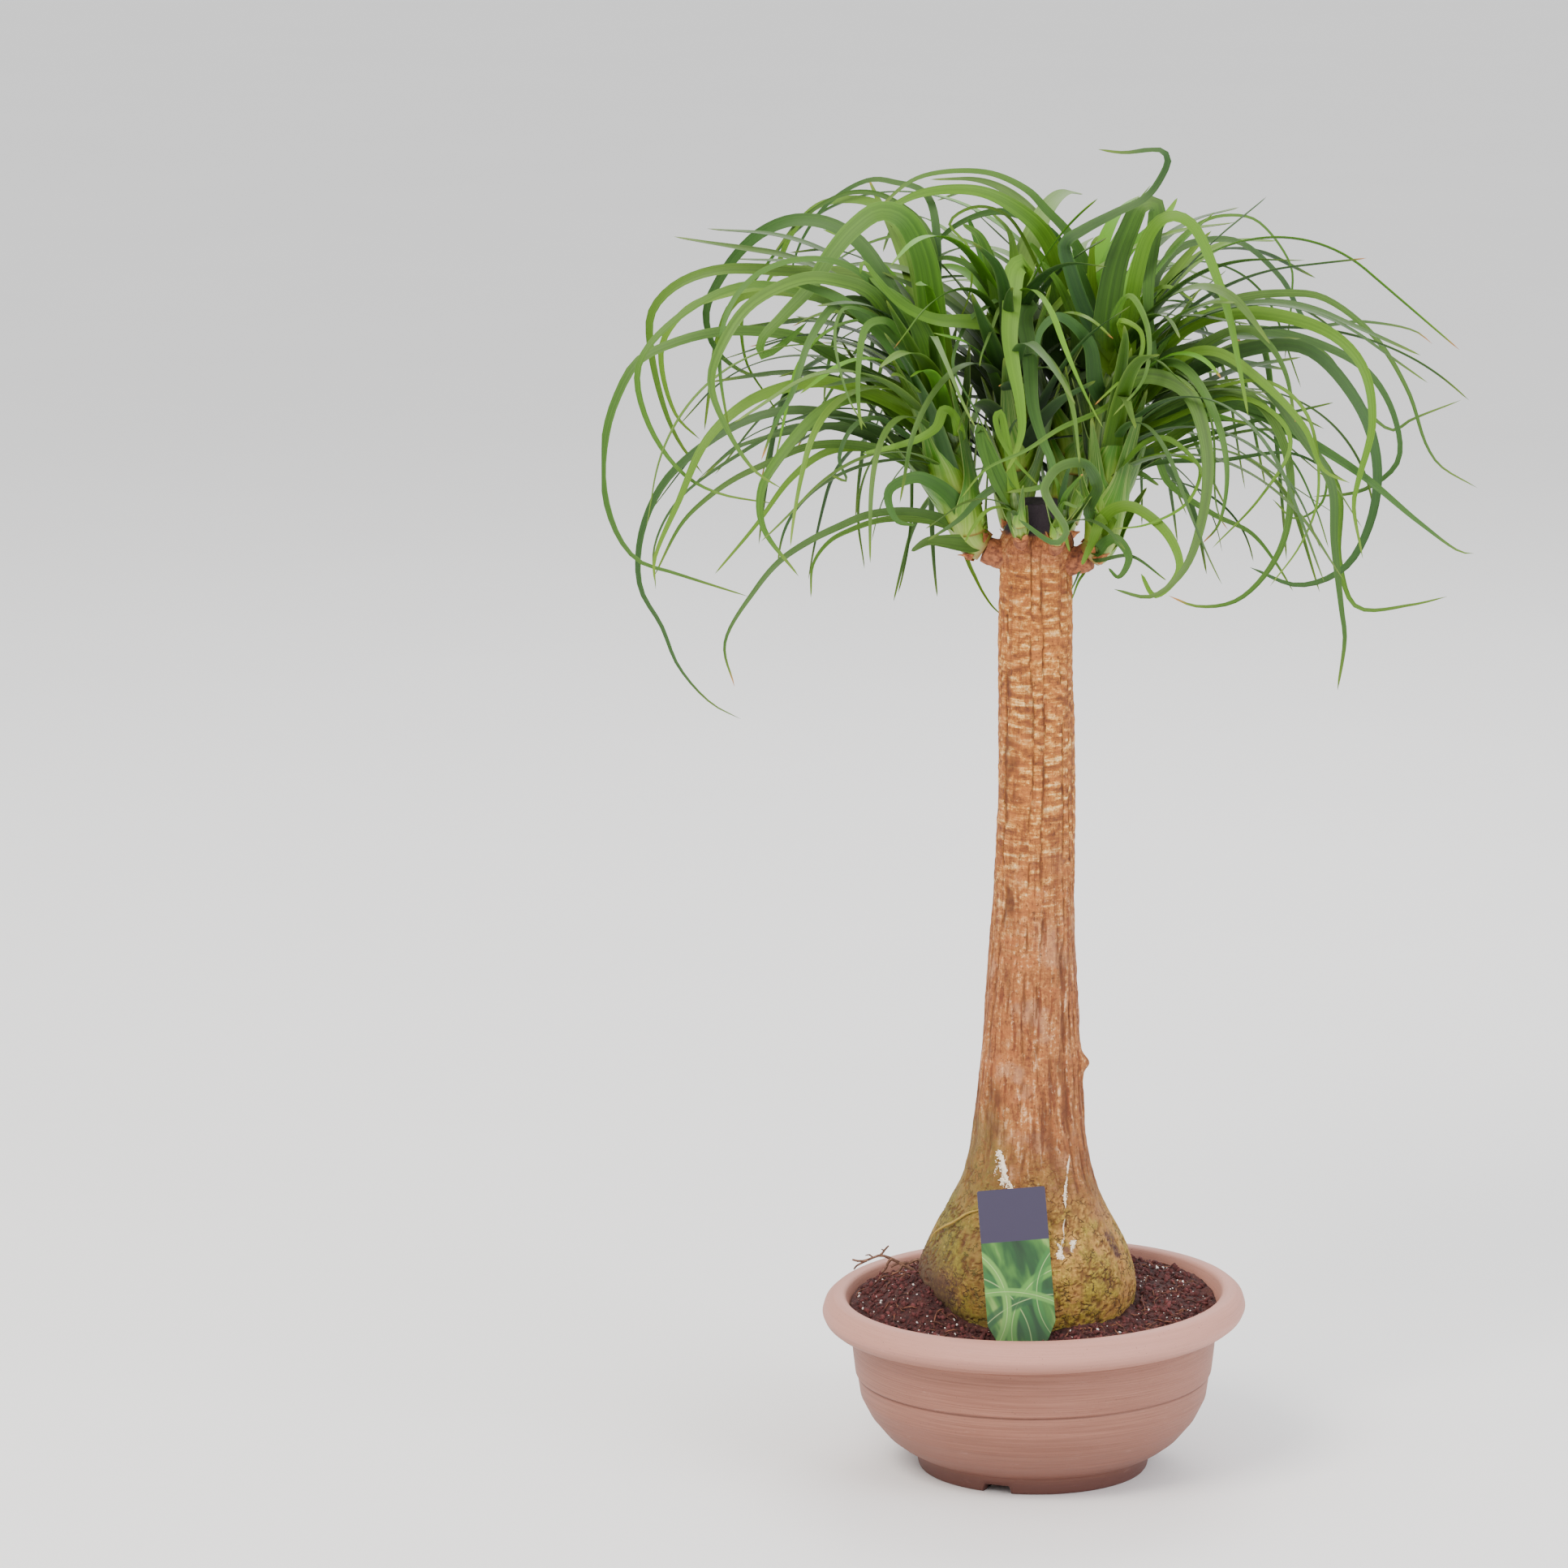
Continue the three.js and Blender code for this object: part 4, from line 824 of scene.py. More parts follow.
def bladeEdges(leaf, steps):
    # the two edges and the keel of the model's own coarse blade
    every = leafRule["steps"] // steps
    t = (np.arange(steps + 1) / steps)[:, None]
    path, side, up = (leaf[key][::every] for key in ("path", "side", "up"))
    width = leafWidth(t, leaf["widest"], leaf["tip"])
    depth = np.minimum(leafRule["keel"], leafRule["keelFrom"] + width * leafRule["keelShare"])
    return path + side * width / 2, path - side * width / 2, path - up * depth


def cellOf(points):
    reach = leafRule["reach"]
    spots = np.floor(points / leafRule["cell"]).astype(int)
    return (spots[:, 0] + reach) + 2 * reach * (spots[:, 1] + reach + 2 * reach * spots[:, 2])


def cellsOf(edges):
    # the cells of space that a blade passes through, its root left out
    cell = leafRule["cell"]
    found = set()
    left, right, _ = edges
    for i in range(len(left) - 1):
        a, b, d, c = left[i], right[i], left[i + 1], right[i + 1]
        along = math.ceil(max(lengthOf(a - d), lengthOf(b - c)) / cell)
        across = math.ceil(max(lengthOf(a - b), lengthOf(d - c)) / cell)
        j = np.arange(along + 1)
        if i == 0:
            j = j[j * cell >= leafRule["rootLength"]]
        start = a + (d - a) * (j / along)[:, None]
        end = b + (c - b) * (j / along)[:, None]
        k = (np.arange(across + 1) / across)[None, :, None]
        points = start[:, None, :] + (end - start)[:, None, :] * k
        found.update(cellOf(points.reshape(-1, 3)).tolist())
    return found


rowOfCells = 2 * leafRule["reach"]
neighbours = [x + rowOfCells * (y + rowOfCells * z) for x, y, z in product((-1, 0, 1), repeat=3)]


def claimCells(taken, cells):
    taken.update(cell + step for cell in cells for step in neighbours)


def nearTrunk(edges):
    x, y, z = np.concatenate([edge[1:] for edge in edges]).T
    low = z < leafRule["cutTop"] + 2 * leafRule["cell"]
    keepOff = trunkRadius(np.minimum(z, leafRule["cutBase"])) + leafRule["cell"]
    return bool((low & (np.hypot(x - leafRule["trunkAt"], y) < keepOff)).any())


def leavesCrown(path, lowest):
    # whether a path hangs too low or reaches too far out
    x, y, z = path.T
    inFront = (np.abs(x) < leafRule["frontWide"]) & (y < leafRule["frontTo"])
    edge = np.where(inFront, lowest["middle"], lowest["sides"]) - leafRule["backLower"] * y
    wide, deep = leafRule["crown"]
    return bool(((z < edge) | (np.hypot(x / wide, y / deep) > 1)).any())


def buildLeaf(path, sideAt, twist, widest, tip, **facts):
    side, up = leafFrames(path, sideAt, twist)
    return {"path": path, "side": side, "up": up, "widest": widest, "tip": tip, **facts}


def levelSide(bearing):
    # lies level, square to the bearing
    turn = math.radians(bearing)
    return lambda ahead: np.tile([-math.sin(turn), math.cos(turn), 0], (len(ahead), 1))


def tracedLeaf(stem, entry, shift):
    _, widest, tip, depth, picture = entry
    draw = seededDraw(picture[0] + 2000 * picture[1])
    face = np.array([0.3 * (draw() - 0.5), -0.75 - 0.25 * draw(), 0.35 + 0.5 * draw()])
    twist = 50 * (draw() - 0.5)
    path = tracedPath(stem, depth, picture, shift)
    return buildLeaf(path, lambda ahead: np.cross(face, ahead), twist, widest, tip, age=0.25 * draw())


def ruleLeaf(stem, shoot, i, draw):
    young = draw()
    foot = stem.point(0.22 + 0.74 * young)
    bearing = shoot["from"] + shoot["sweep"] * ((i * leafRule["goldenShare"] + 0.12 * draw()) % 1)
    length = shoot["length"][0] + (shoot["length"][1] - shoot["length"][0]) * draw()
    rise = shoot["rise"][1] + (shoot["rise"][0] - shoot["rise"][1]) * (0.75 * young + 0.25 * draw())
    fall = 118 + 52 * draw()
    bend = 0.6 + 0.35 * draw()
    path = archedPath(foot, bearing, length, rise, fall, bend, 80 * (draw() - 0.5))
    short = length < leafRule["short"]
    widest = (5 if short else 8) + 8 * draw() * draw()
    age = 0.8 * float(smooth(0.75, 1.0, young))
    leaf = buildLeaf(path, levelSide(bearing), 90 * (draw() - 0.5), widest, leafRule["tip"], age=age)
    return leaf, 4 if short else 6


def stemCells(stem, radii):
    cells = set()
    s = 0.0
    while s <= 1:
        radius = radii[math.floor(s * (len(radii) - 1) + 0.5)]
        while radius > 0:
            cells.update(cellOf(ringAround(stem.point(s), stem.ahead(s), radius, 16)).tolist())
            radius -= leafRule["cell"]
        s += leafRule["stemStep"]
    return cells


def keepBest(candidates, kept, claimed):
    # the one that crosses the fewest others
    best = min(candidates, key=lambda candidate: candidate[0], default=None)
    if best:
        kept.append(best[1])
        claimCells(claimed, best[2])


def growLeaves():
    # a leaf is kept where no leaf of another shoot passes; each claims the cells round it
    taken = {name: set() for name in shoots}
    grown = {name: [] for name in shoots}
    stems = {name: stemBend(shoot) for name, shoot in shoots.items()}

    def isClear(name, edges, cells):
        others = (taken[other] for other in shoots if other != name)
        return not nearTrunk(edges) and all(claimed.isdisjoint(cells) for claimed in others)

    for name, shoot in shoots.items():
        claimCells(taken[name], stemCells(stems[name], shoot["radii"]))

    for entry in tracedLeaves:
        name, picture = entry[0], entry[4]
        for shift in leafRule["shifts"]:
            leaf = tracedLeaf(stems[name], entry, shift)
            edges = bladeEdges(leaf, 8 if len(picture) > 20 else 6)
            cells = cellsOf(edges)
            if isClear(name, edges, cells):
                grown[name].append(leaf)
                claimCells(taken[name], cells)
                break

    def candidates(name, shoot, seed, i):
        for attempt in range(leafRule["attempts"]):
            leaf, steps = ruleLeaf(stems[name], shoot, i, seededDraw(seed + attempt))
            if leavesCrown(leaf["path"], shoot["lowest"]):
                continue
            edges = bladeEdges(leaf, steps)
            cells = cellsOf(edges)
            if isClear(name, edges, cells):
                yield len(cells & taken[name]), leaf, cells

    for order, (name, shoot) in enumerate(shoots.items()):
        for i in range(shoot["count"]):
            seed = leafRule["seed"] + order * leafRule["shootSeed"] + i * leafRule["leafSeed"]
            keepBest(candidates(name, shoot, seed, i), grown[name], taken[name])
    return grown, stems, taken


# The trunk's outline: height, radius and how far its middle stands to the right.
trunkShape = [
    (118, 84, 0), (147, 91, 0), (157, 93.6, 0), (169, 97.6, -1), (184, 98.1, -2), (200, 98, -5),
    (216, 94, -6), (232, 86.2, -7), (248, 77.4, -7), (263, 70.1, -6), (279, 63.7, -5), (295, 58.7, -5),
    (319, 53.7, -5), (358, 49.6, -5), (413, 44.6, -5), (475, 41.2, -4), (553, 38.3, -2), (630, 37.1, -1),
    (707, 35.2, -1), (790, 33.6, -2), (862, 33.2, -3), (880, 35.5, -3), (894, 33.5, -2), (902, 27, -1),
    (916, 26, -1), (925, 21, -1),
]
trunkHeights, trunkRadii, trunkMiddles = zip(*trunkShape)

# Millimetres; a pair of heights is where something starts and where it is full. Each wound is a column
# and a row of the picture, a width and a depth.
trunk = {
    "columns": 208, "rowStep": 1.5, "foot": 118, "top": 924, "soften": 8, "strips": 17,
    "bandHigh": 0.5, "bandStep": 12.5, "fissureDeep": 0.9, "ridgeHigh": 2.0, "crackDeep": 1.2,
    "lumpHigh": 2.4, "gritHigh": 0.5, "cutRough": 1.2, "seamSway": 0.32,
    "upper": (430, 640), "mossEnd": (250, 330), "soilLine": (120, 160), "cutLine": (886, 897),
    "oval": 0.022, "lobes": 0.018, "ovalFrom": 165, "ovalTo": 890, "ovalFade": 40,
    "domes": ((0.9, 0.8), (0.6, 1.0), (0.25, 0.6)),
    "knob": (41, -8, 392), "knobHigh": 7, "knobWide": 8,
    "flareAngle": math.pi, "flareHeight": 186, "flareHigh": 9, "flareWide": (0.5, 24),
    "wounds": [(1315, 1542, 6, 4.0), (1371, 1526, 13, 0.8), (1378, 1540, 10, 0.6)],
}


def trunkRadius(z):
    return np.interp(z, trunkHeights, trunkRadii)


def trunkMiddle(z):
    return np.interp(z, trunkHeights, trunkMiddles)


def onTrunk(column, row, above=0.0):
    # where the picture's ray meets the front of the trunk
    depth = -60.0
    for _ in range(12):
        x, _, z = fromPicture(column, row, depth)
        radius = trunkRadius(z) + above
        depth = -math.sqrt(max(radius ** 2 - (x - trunkMiddle(z)) ** 2, (0.2 * radius) ** 2))
    return fromPicture(column, row, depth)


barkStops = {
    "upper": [(0.30, "#552b12"), (0.43, "#80471d"), (0.52, "#a96522"), (0.59, "#d1974a"),
              (0.66, "#f3cf8e")],
    "middle": [(0.32, "#46200f"), (0.43, "#7d4422"), (0.53, "#a66833"), (0.63, "#cf995e"),
               (0.73, "#efc99a")],
    "bulb": [(0.28, "#4a300c"), (0.44, "#7d5a20"), (0.58, "#a27a35"), (0.72, "#c69c58"),
             (0.86, "#e4c690")],
}


def barkFinish():
    f = Finish("bark")
    height = f.axis(2)
    band, crack, moss = f.fact("band"), f.fact("crack"), f.fact("moss")
    grain = f.cloud(f.place(), 260.0, 7, 0.74)
    long = f.cloud(f.place((1, 1, 0.10)), 210.0, 5, 0.62, 0.25)
    flecks = f.cloud(f.place((1, 1, 3.0)), 130.0, 5, 0.65)
    patches = f.cloud(f.place(), 24.0, 4, 0.55)
    warm = f.cloud(f.place((1, 1, 1.7)), 44.0, 4, 0.55)
    sheet = f.joined(f.axis(0) * 0.5, f.axis(1) * 0.5, height * 4.4 + f.fact("strip") * 0.013)
    sheets = f.cloud(sheet, 60.0, 8, 0.74)
    pits = f.step(f.cloud(f.place((1, 1, 0.6)), 380.0, 4, 0.7), 0.56, 0.66)
    # the papery trunk, above
    upper = f.ramp(sheets * 0.70 + band * 0.13 + grain * 0.50 - 0.155, barkStops["upper"])
    upper = f.blend(f.step(warm, 0.47, 0.60) * 0.38, upper, "#b66a2e")
    furrow = f.step(f.cloud(f.place((1, 1, 0.085)), 150.0, 4, 0.55, 0.2), 0.54, 0.63)
    upper = f.blend(furrow * 0.5, upper, "#70381b")
    # the smoother neck of the bulb
    middle = f.ramp(long * 0.42 + sheets * 0.16 + grain * 0.52 - 0.05, barkStops["middle"])
    middle = f.blend(f.step(warm, 0.48, 0.62) * 0.4, middle, "#ab6230")
    middle = f.blend(f.step(patches, 0.50, 0.62) * 0.4, middle, "#b58868")
    middle = f.blend(furrow * 0.75, middle, "#662c12")
    middle = f.blend(f.step(grain * 0.5 + long * 0.5, 0.545, 0.62) * 0.55, middle, "#e0b692")
    # the mossy bulb with its net of cracks
    bulb = f.ramp(grain * 0.75 + flecks * 0.55 - 0.15, barkStops["bulb"])
    green = f.step(f.cloud(f.place(), 17.0, 8, 0.74) - 0.9 * height, 0.24, 0.38)
    bulb = f.blend(f.step(patches, 0.46, 0.60) * 0.45, bulb, "#aa7545")
    bulb = f.blend(f.step(f.axis(0), -0.03, 0.08) * 0.22, bulb, "#d6a052")
    bulb = f.blend(green * 0.7, bulb, f.blend(f.step(grain, 0.36, 0.62), "#4a470c", "#9a8d20"))
    lines = f.cells(f.warped(f.place((1, 1, 1.3)), 90.0, 0.016), 115.0, "DISTANCE_TO_EDGE")
    lines = (1 - f.step(lines, 0.015, 0.105)) * f.step(f.cloud(f.place(), 85.0, 3, 0.6), 0.48, 0.57)
    bulb = f.blend(lines * 0.85, bulb, "#33200a")
    base = f.blend(f.step(height + 0.16 * (long - 0.5), 0.46, 0.66), middle, upper)
    low = 1 - f.step(height + 0.10 * (long - 0.5), 0.27, 0.37)
    base = f.blend(low * f.step(grain * 0.5 + flecks * 0.5, 0.40, 0.54) * 0.85, base, "#643c1b")
    base = f.blend(moss, base, bulb)
    # painted shade, olive and patchy, on the left side low down; soil splashed on the flank, and the
    # sealed cut at the top
    left = 1 - f.step(f.axis(0) + 0.05 * (patches - 0.5), -0.044, -0.016)
    leftShade = left * (1 - f.step(height, 0.33, 0.39)) * f.step(grain * 0.5 + patches * 0.5, 0.40, 0.54)
    base = f.blend(leftShade * 0.55, base, "#5c5a20")
    base = f.blend(pits * (1 - moss) * 0.75, base, "#4a2814")
    flank = 1 - f.step(f.axis(0) + 0.08 * (grain - 0.5), -0.086, -0.062)
    crust = flank * (1 - f.step(height, 0.190, 0.228)) * (1 - f.step(f.axis(1), 0.02, 0.07))
    base = f.blend(crust * 0.85, base, "#472d27")
    base = f.blend(f.step(grain, 0.60, 0.72) * 0.3, base, "#ecc796")
    collar = f.blend(f.step(grain, 0.36, 0.64), "#5a2c18", "#a8653e")
    base = f.blend(f.step(height + 0.02 * (patches - 0.5), 0.856, 0.880) * 0.7, base, collar)
    base = f.blend(f.step(height + 0.014 * (patches - 0.5), 0.893, 0.899), base, "#2c2229")
    base = f.blend(crack * (0.5 + 0.45 * f.step(grain, 0.3, 0.6)), base, "#54290f")
    # the wounds' own dark scars, with painted shade in their hollows
    wound = f.fact("wound") * f.step(flecks * 0.6 + grain * 0.6, 0.46, 0.62)
    base = f.blend(wound * 0.8, base, "#45282a")
    relief = (grain * 0.7 + long * 0.3 + sheets * 0.5 + flecks * 0.3) * (1 - 0.3 * moss)
    relief = relief - crack - furrow * 0.6 - lines * moss * 0.7
    return f.shade(Base_Color=base, Roughness=0.80 + 0.12 * grain, Normal=f.bump(relief, 0.0014, 0.8))


def barkRelief(spot, angle, z):
    # how far the bark stands out from the trunk's plain shape, with its bands, cracks and mossy share
    t = trunk
    cos, sin, zero = np.cos(angle), np.sin(angle), np.zeros_like(z)
    # strips up the trunk, each with its own beat of bands, and a fissure along some of the seams
    uneven = 0.10 * np.sin(2 * angle + 0.7) + 0.06 * np.sin(5 * angle + 2.1)
    sway = t["seamSway"] * clouds(np.stack([cos, sin, z], 1), (0.9, 0.9, 60), 3, 5)
    strip = (angle / (2 * math.pi) + uneven / 3) * t["strips"] + sway
    number = np.floor(strip) % t["strips"]
    inside = strip - np.floor(strip)
    toSeam = np.minimum(inside, 1 - inside)
    ring = np.stack([cos * 40, sin * 40, z], 1)
    beat = z / t["bandStep"] + 1.3 * clouds(ring, (36, 36, 60), 3, 6) + 0.16 * (number * 7 % 5)
    patch = smooth(-0.5, 0.5, clouds(ring, (17, 17, 6), 3, 11))
    band = smooth(0.12, 0.88, 0.52 * (0.5 + 0.5 * np.sin(2 * math.pi * beat)) + 0.48 * patch)
    lifted = ring + np.stack([zero, zero, 57 * number], 1)
    broken = smooth(-0.10, 0.22, clouds(lifted, (30, 30, 30), 2, 31))
    fissure = (1 - smooth(0.04, 0.15, toSeam + 0.05 * clouds(ring, (5, 5, 9), 2, 32))) * broken
    # long ridges on the neck, a net of cracks on the bulb
    ridges = clouds(ring, (5.4, 5.4, 44), 3, 41)
    seams = (1 - smooth(-0.34, -0.10, ridges)) * smooth(-0.2, 0.2, clouds(ring, (12, 12, 40), 2, 42))
    bent = spot + 3 * clouds(spot, (9, 9, 9), 3, 9)[:, None]
    cracks = 1 - smooth(0.03, 0.17, crackle(bent, (7, 7, 10), 51))
    cracks *= smooth(-0.25, 0.15, clouds(spot, (16, 16, 16), 2, 52))
    lumps = clouds(spot, (30, 30, 36), 3, 61)
    upper = smooth(*t["upper"], z)
    moss = 1 - smooth(*t["mossEnd"], z + 38 * lumps + 22 * np.cos(angle + 0.6))
    lower = (1 - upper) * (1 - moss)
    live = smooth(*t["soilLine"], z) * (1 - smooth(*t["cutLine"], z))
    push = live * (t["bandHigh"] * (band - 0.5) * (0.3 + 0.7 * upper)
                   - t["fissureDeep"] * fissure * (1 - moss)
                   + t["ridgeHigh"] * ridges * lower - t["crackDeep"] * cracks * moss)
    grit = t["gritHigh"] * clouds(spot, (7, 7, 9), 3, 62) * live * (1 - 0.5 * moss)
    push += t["lumpHigh"] * lumps * (0.35 + 0.65 * moss) + grit
    push += (1 - live) * t["cutRough"] * clouds(spot, (9, 9, 9), 4, 71)
    crack = np.maximum(0.75 * seams * lower, 0.95 * cracks * moss)
    crack = np.maximum(fissure * (1 - moss), crack) * live
    turnWide, highWide = t["flareWide"]
    flare = -((angle - t["flareAngle"]) / turnWide) ** 2 - ((z - t["flareHeight"]) / highWide) ** 2
    push += t["flareHigh"] * np.exp(flare)
    return push, {"band": band, "crack": crack, "moss": moss, "strip": number * 7 % 5}


def makeTrunk():
    t = trunk
    heights = np.arange(t["foot"], t["top"], t["rowStep"])
    angles = np.linspace(0, 2 * math.pi, t["columns"], endpoint=False)
    taps = np.linspace(-t["soften"], t["soften"], 7)
    radii = np.mean([trunkRadius(heights + tap) for tap in taps], 0)
    middles = np.mean([trunkMiddle(heights + tap) for tap in taps], 0)
    z, angle = (grid.ravel() for grid in np.meshgrid(heights, angles, indexing="ij"))
    radius, middle = np.repeat(radii, len(angles)), np.repeat(middles, len(angles))
    zero = np.zeros_like(z)
    fadeIn = np.maximum(0, (z - t["ovalFrom"]) / t["ovalFade"])
    fadeOut = np.maximum(0, (t["ovalTo"] - z) / t["ovalFade"])
    oval = t["oval"] * np.sin(2 * angle + z / 55) + t["lobes"] * np.sin(5 * angle - z / 38)
    radius = radius * (1 + np.minimum(1, np.minimum(fadeIn, fadeOut)) * oval)
    out = np.stack([np.cos(angle), np.sin(angle), zero], 1)
    spot = out * radius[:, None] + np.stack([middle, zero, z], 1)
    push, looks = barkRelief(spot, angle, z)
    push += t["knobHigh"] * np.exp(-(lengthOf(spot - t["knob"]) / t["knobWide"]) ** 2)
    looks["wound"] = zero
    for column, row, wide, deep in t["wounds"]:
        near = np.exp(-(lengthOf(spot - onTrunk(column, row)) / wide) ** 2)
        push -= deep * near
        looks["wound"] = np.maximum(looks["wound"], smooth(0.3, 0.7, near))
    points = spot + out * push[:, None]
    # the sealed cut: smaller and smaller rings, each a little raised
    cap = points[-len(angles):]
    centre = cap.mean(0)
    domes = [centre + (cap - centre) * share + (0, 0, lift) for share, lift in t["domes"]]
    faces = tubeFaces(len(heights) + len(domes), len(angles))
    piece = meshPiece("trunk", np.concatenate([points, *domes]), faces, barkFinish())
    bare = np.zeros(len(domes) * len(angles))
    storeFacts(piece, {name: np.concatenate([values, bare]) for name, values in looks.items()})
    settle(piece, "bark", "trunk")


def roundBend(points, count):
    return Bend(points).spaced(count - 1)


def loftTube(path, radii, sides, rough=0.0, seed=3):
    # rings about a path; rough makes the radii uneven
    ahead = waysAlong(path)
    points = np.concatenate([ringAround(*ring, sides) for ring in zip(path, ahead, radii)])
    if rough:
        centres = np.repeat(path, sides, 0)
        points = centres + (points - centres) * (1 + rough * clouds(points, 3.0, 3, seed))[:, None]
    return points


# Dried sap and the thin root across the bulb, read off the picture: each run's spots, and its radii in
# millimetres. "looks" are the pale and the dark colour and how uneven the runs are.
strands = {
    "steps": 34, "sides": 10, "above": 1.4, "sapCrumbSteps": 60, "sapCrumbAbove": 1.8,
    "looks": {"sap": ("#fbf4e6", "#d9c6a4", 0.95), "root": ("#b89a3e", "#7c6226", 0.2)},
    "sap": [
        ([(1230, 1418), (1235, 1428), (1238, 1440), (1241, 1452), (1246, 1462), (1252, 1472)],
         [1.2, 2.6, 3.2, 1.8, 2.6, 2.0]),
        ([(1240, 1446), (1236, 1455), (1238, 1464)], [1.0, 1.8, 0.8]),
        ([(1231, 1436), (1227, 1444), (1229, 1452)], [0.5, 0.9, 0.4]),
        ([(1318, 1424), (1316, 1436), (1315, 1446)], [0.2, 0.7, 0.4]),
        ([(1315, 1450), (1313, 1462), (1312, 1476), (1313, 1488)], [0.4, 0.9, 1.1, 0.4]),
        ([(1312, 1502), (1310, 1514), (1311, 1524), (1308, 1532)], [0.3, 0.5, 0.3, 0.8]),
        ([(1304, 1534), (1307, 1539), (1305, 1549), (1309, 1553)], [1.2, 0.9, 2.2, 0.8]),
        ([(1318, 1533), (1323, 1530), (1320, 1541), (1324, 1545)], [0.6, 1.4, 0.8, 0.3]),
    ],
    "root": [
        ([(1206, 1491), (1192, 1495), (1176, 1505), (1162, 1512), (1150, 1521), (1146, 1530)],
         [1.3, 1.6, 1.2, 1.4, 1.1, 0.7]),
    ],
}


def strandLook(name, pale, dark):
    return grainLook(name, dark, pale, (420.0, 4, 0.6), 0.7, (0.0006, 0.6))


def strandRun(run, steps, above):
    spots, radii = run
    path = roundBend([onTrunk(*spot, above) for spot in spots], steps)
    return path, spread(radii, np.linspace(0, 1, steps))


def makeSapCrumbs():
    # the ragged edge of the dried sap: crumbs strewn along each run
    draw = np.random.default_rng(12)
    spots, sizes = [], []
    for run in strands["sap"]:
        for point, reach in zip(*strandRun(run, strands["sapCrumbSteps"], strands["sapCrumbAbove"])):
            for _ in range(2 + int(2.4 * reach)):
                away = draw.normal(size=3) * (0.85 * reach, 0.3, 1.0)
                spots.append(point + away)
                sizes.append(draw.uniform(0.35, 0.75) * min(reach, 1.9))
    points, faces = scatterShapes(spots, sizes, 13, 0.9)
    look = strandLook("sapCrumbs", "#fdf6ea", "#e3cfae")
    settle(meshPiece("sapCrumbs", points, faces, look), "bark", "trunk")


def makeStrands():
    steps, sides = strands["steps"], strands["sides"]
    for kind, (pale, dark, rough) in strands["looks"].items():
        tubes = []
        for k, run in enumerate(strands[kind]):
            path, radii = strandRun(run, steps, strands["above"])
            ends = np.sin(np.pi * np.linspace(0.06, 0.94, steps)) ** 0.35
            tubes.append(loftTube(path, radii * ends, sides, rough, 7 + k))
        piece = meshPiece(kind, *joinTubes(tubes, sides), strandLook(kind, pale, dark))
        settle(piece, "bark", "trunk")


def stubFinish():
    f = Finish("stubBark")
    grain = f.cloud(f.place(), 210.0, 6, 0.65)
    patches = f.cloud(f.place(), 60.0, 4, 0.6)
    base = f.blend(f.step(grain, 0.3, 0.7), "#5a2c1b", "#a9663e")
    base = f.blend(f.step(patches, 0.5, 0.7) * 0.5, base, "#c08650")
    return f.shade(Base_Color=base, Roughness=0.85, Normal=f.bump(grain, 0.0015, 0.8))


stubs = {"steps": 22, "sides": 40, "start": (-2, 0), "drop": 30, "rough": 1.6, "roughSize": 5,
         "radii": ([0, 0.5, 0.85, 1], [1.1, 1.1, 1.0, 0.98])}


def makeStubs():
    # the short woody necks that the shoots grow from, and the ragged bark on them
    tubes = []
    steps, sides = stubs["steps"], stubs["sides"]
    for k, shoot in enumerate(shoots.values()):
        end, way = np.array(shoot["foot"], float), unit(shoot["heading"])
        start = np.array([*stubs["start"], end[2] - way[2] * stubs["drop"]])
        bent = end - way * 10
        path = roundBend([start, start + (bent - start) * 0.55, bent, end - way * 2, end], steps)
        made = loftTube(path, shoot["stub"] * np.interp(np.linspace(0, 1, steps), *stubs["radii"]), sides)
        outward = unit(made - np.repeat(path, sides, 0))
        push = stubs["rough"] * clouds(made, stubs["roughSize"], 4, 80 + k)
        tubes.append(made + outward * push[:, None])
    settle(meshPiece("stubs", *joinTubes(tubes, sides), stubFinish()), "bark", "trunk")


# The soil: a worked surface heaped against the bulb, with crumbs, pale grains and fibres lying in it.
# "level" is its height at each radius. The dip at the label and the heaps have a place, a height and a
# width, and each of the waves has a height, a size, a number of octaves and a seed.
soil = {
    "rings": 120, "columns": 420, "outer": 173, "inner": 86, "skirt": 143,
    "radius": [88, 104, 122, 150, 171, 176], "level": [156, 155, 152, 149.5, 147.5, 146], "most": 159,
    "behind": 13, "behindFrom": -70, "behindFull": 90, "leftHigh": 3.5,
    "dip": (-15, -128, -4.5, 24), "heaps": [(-114, 2, 23, 44), (-100, -46, 15, 30)],
    "waves": [(2.5, 45, 2, 90), (2.6, 11, 3, 91), (1.6, 4, 3, 92)],
    "crumbs": 2300, "grains": 330, "fibres": 170, "fibreSteps": 8, "fibreSides": 5,
    "looseFrom": 101, "looseTo": 168, "label": (-15, -122, 26), "labelDrop": 6,
}


def hump(x, y, x0, y0, high, wide):
    return high * np.exp(-(np.hypot(x - x0, y - y0) / wide) ** 2)


def soilHeight(x, y):
    radius = np.hypot(x, y)
    spot = np.stack([x, y, np.zeros_like(x)], 1)
    broad, middle, fine = (high * clouds(spot, size, octaves, seed)
                           for high, size, octaves, seed in soil["waves"])
    level = np.interp(radius, soil["radius"], soil["level"])
    level = level + soil["leftHigh"] * smooth(60, 160, -x) * smooth(172, 140, radius) + broad
    level = np.minimum(level + hump(x, y, *soil["dip"]), soil["most"])
    level = level + soil["behind"] * smooth(soil["behindFrom"], soil["behindFull"], y) + pot["tilt"] * x
    for heap in soil["heaps"]:
        level = level + hump(x, y, *heap)
    return level + (middle + fine)


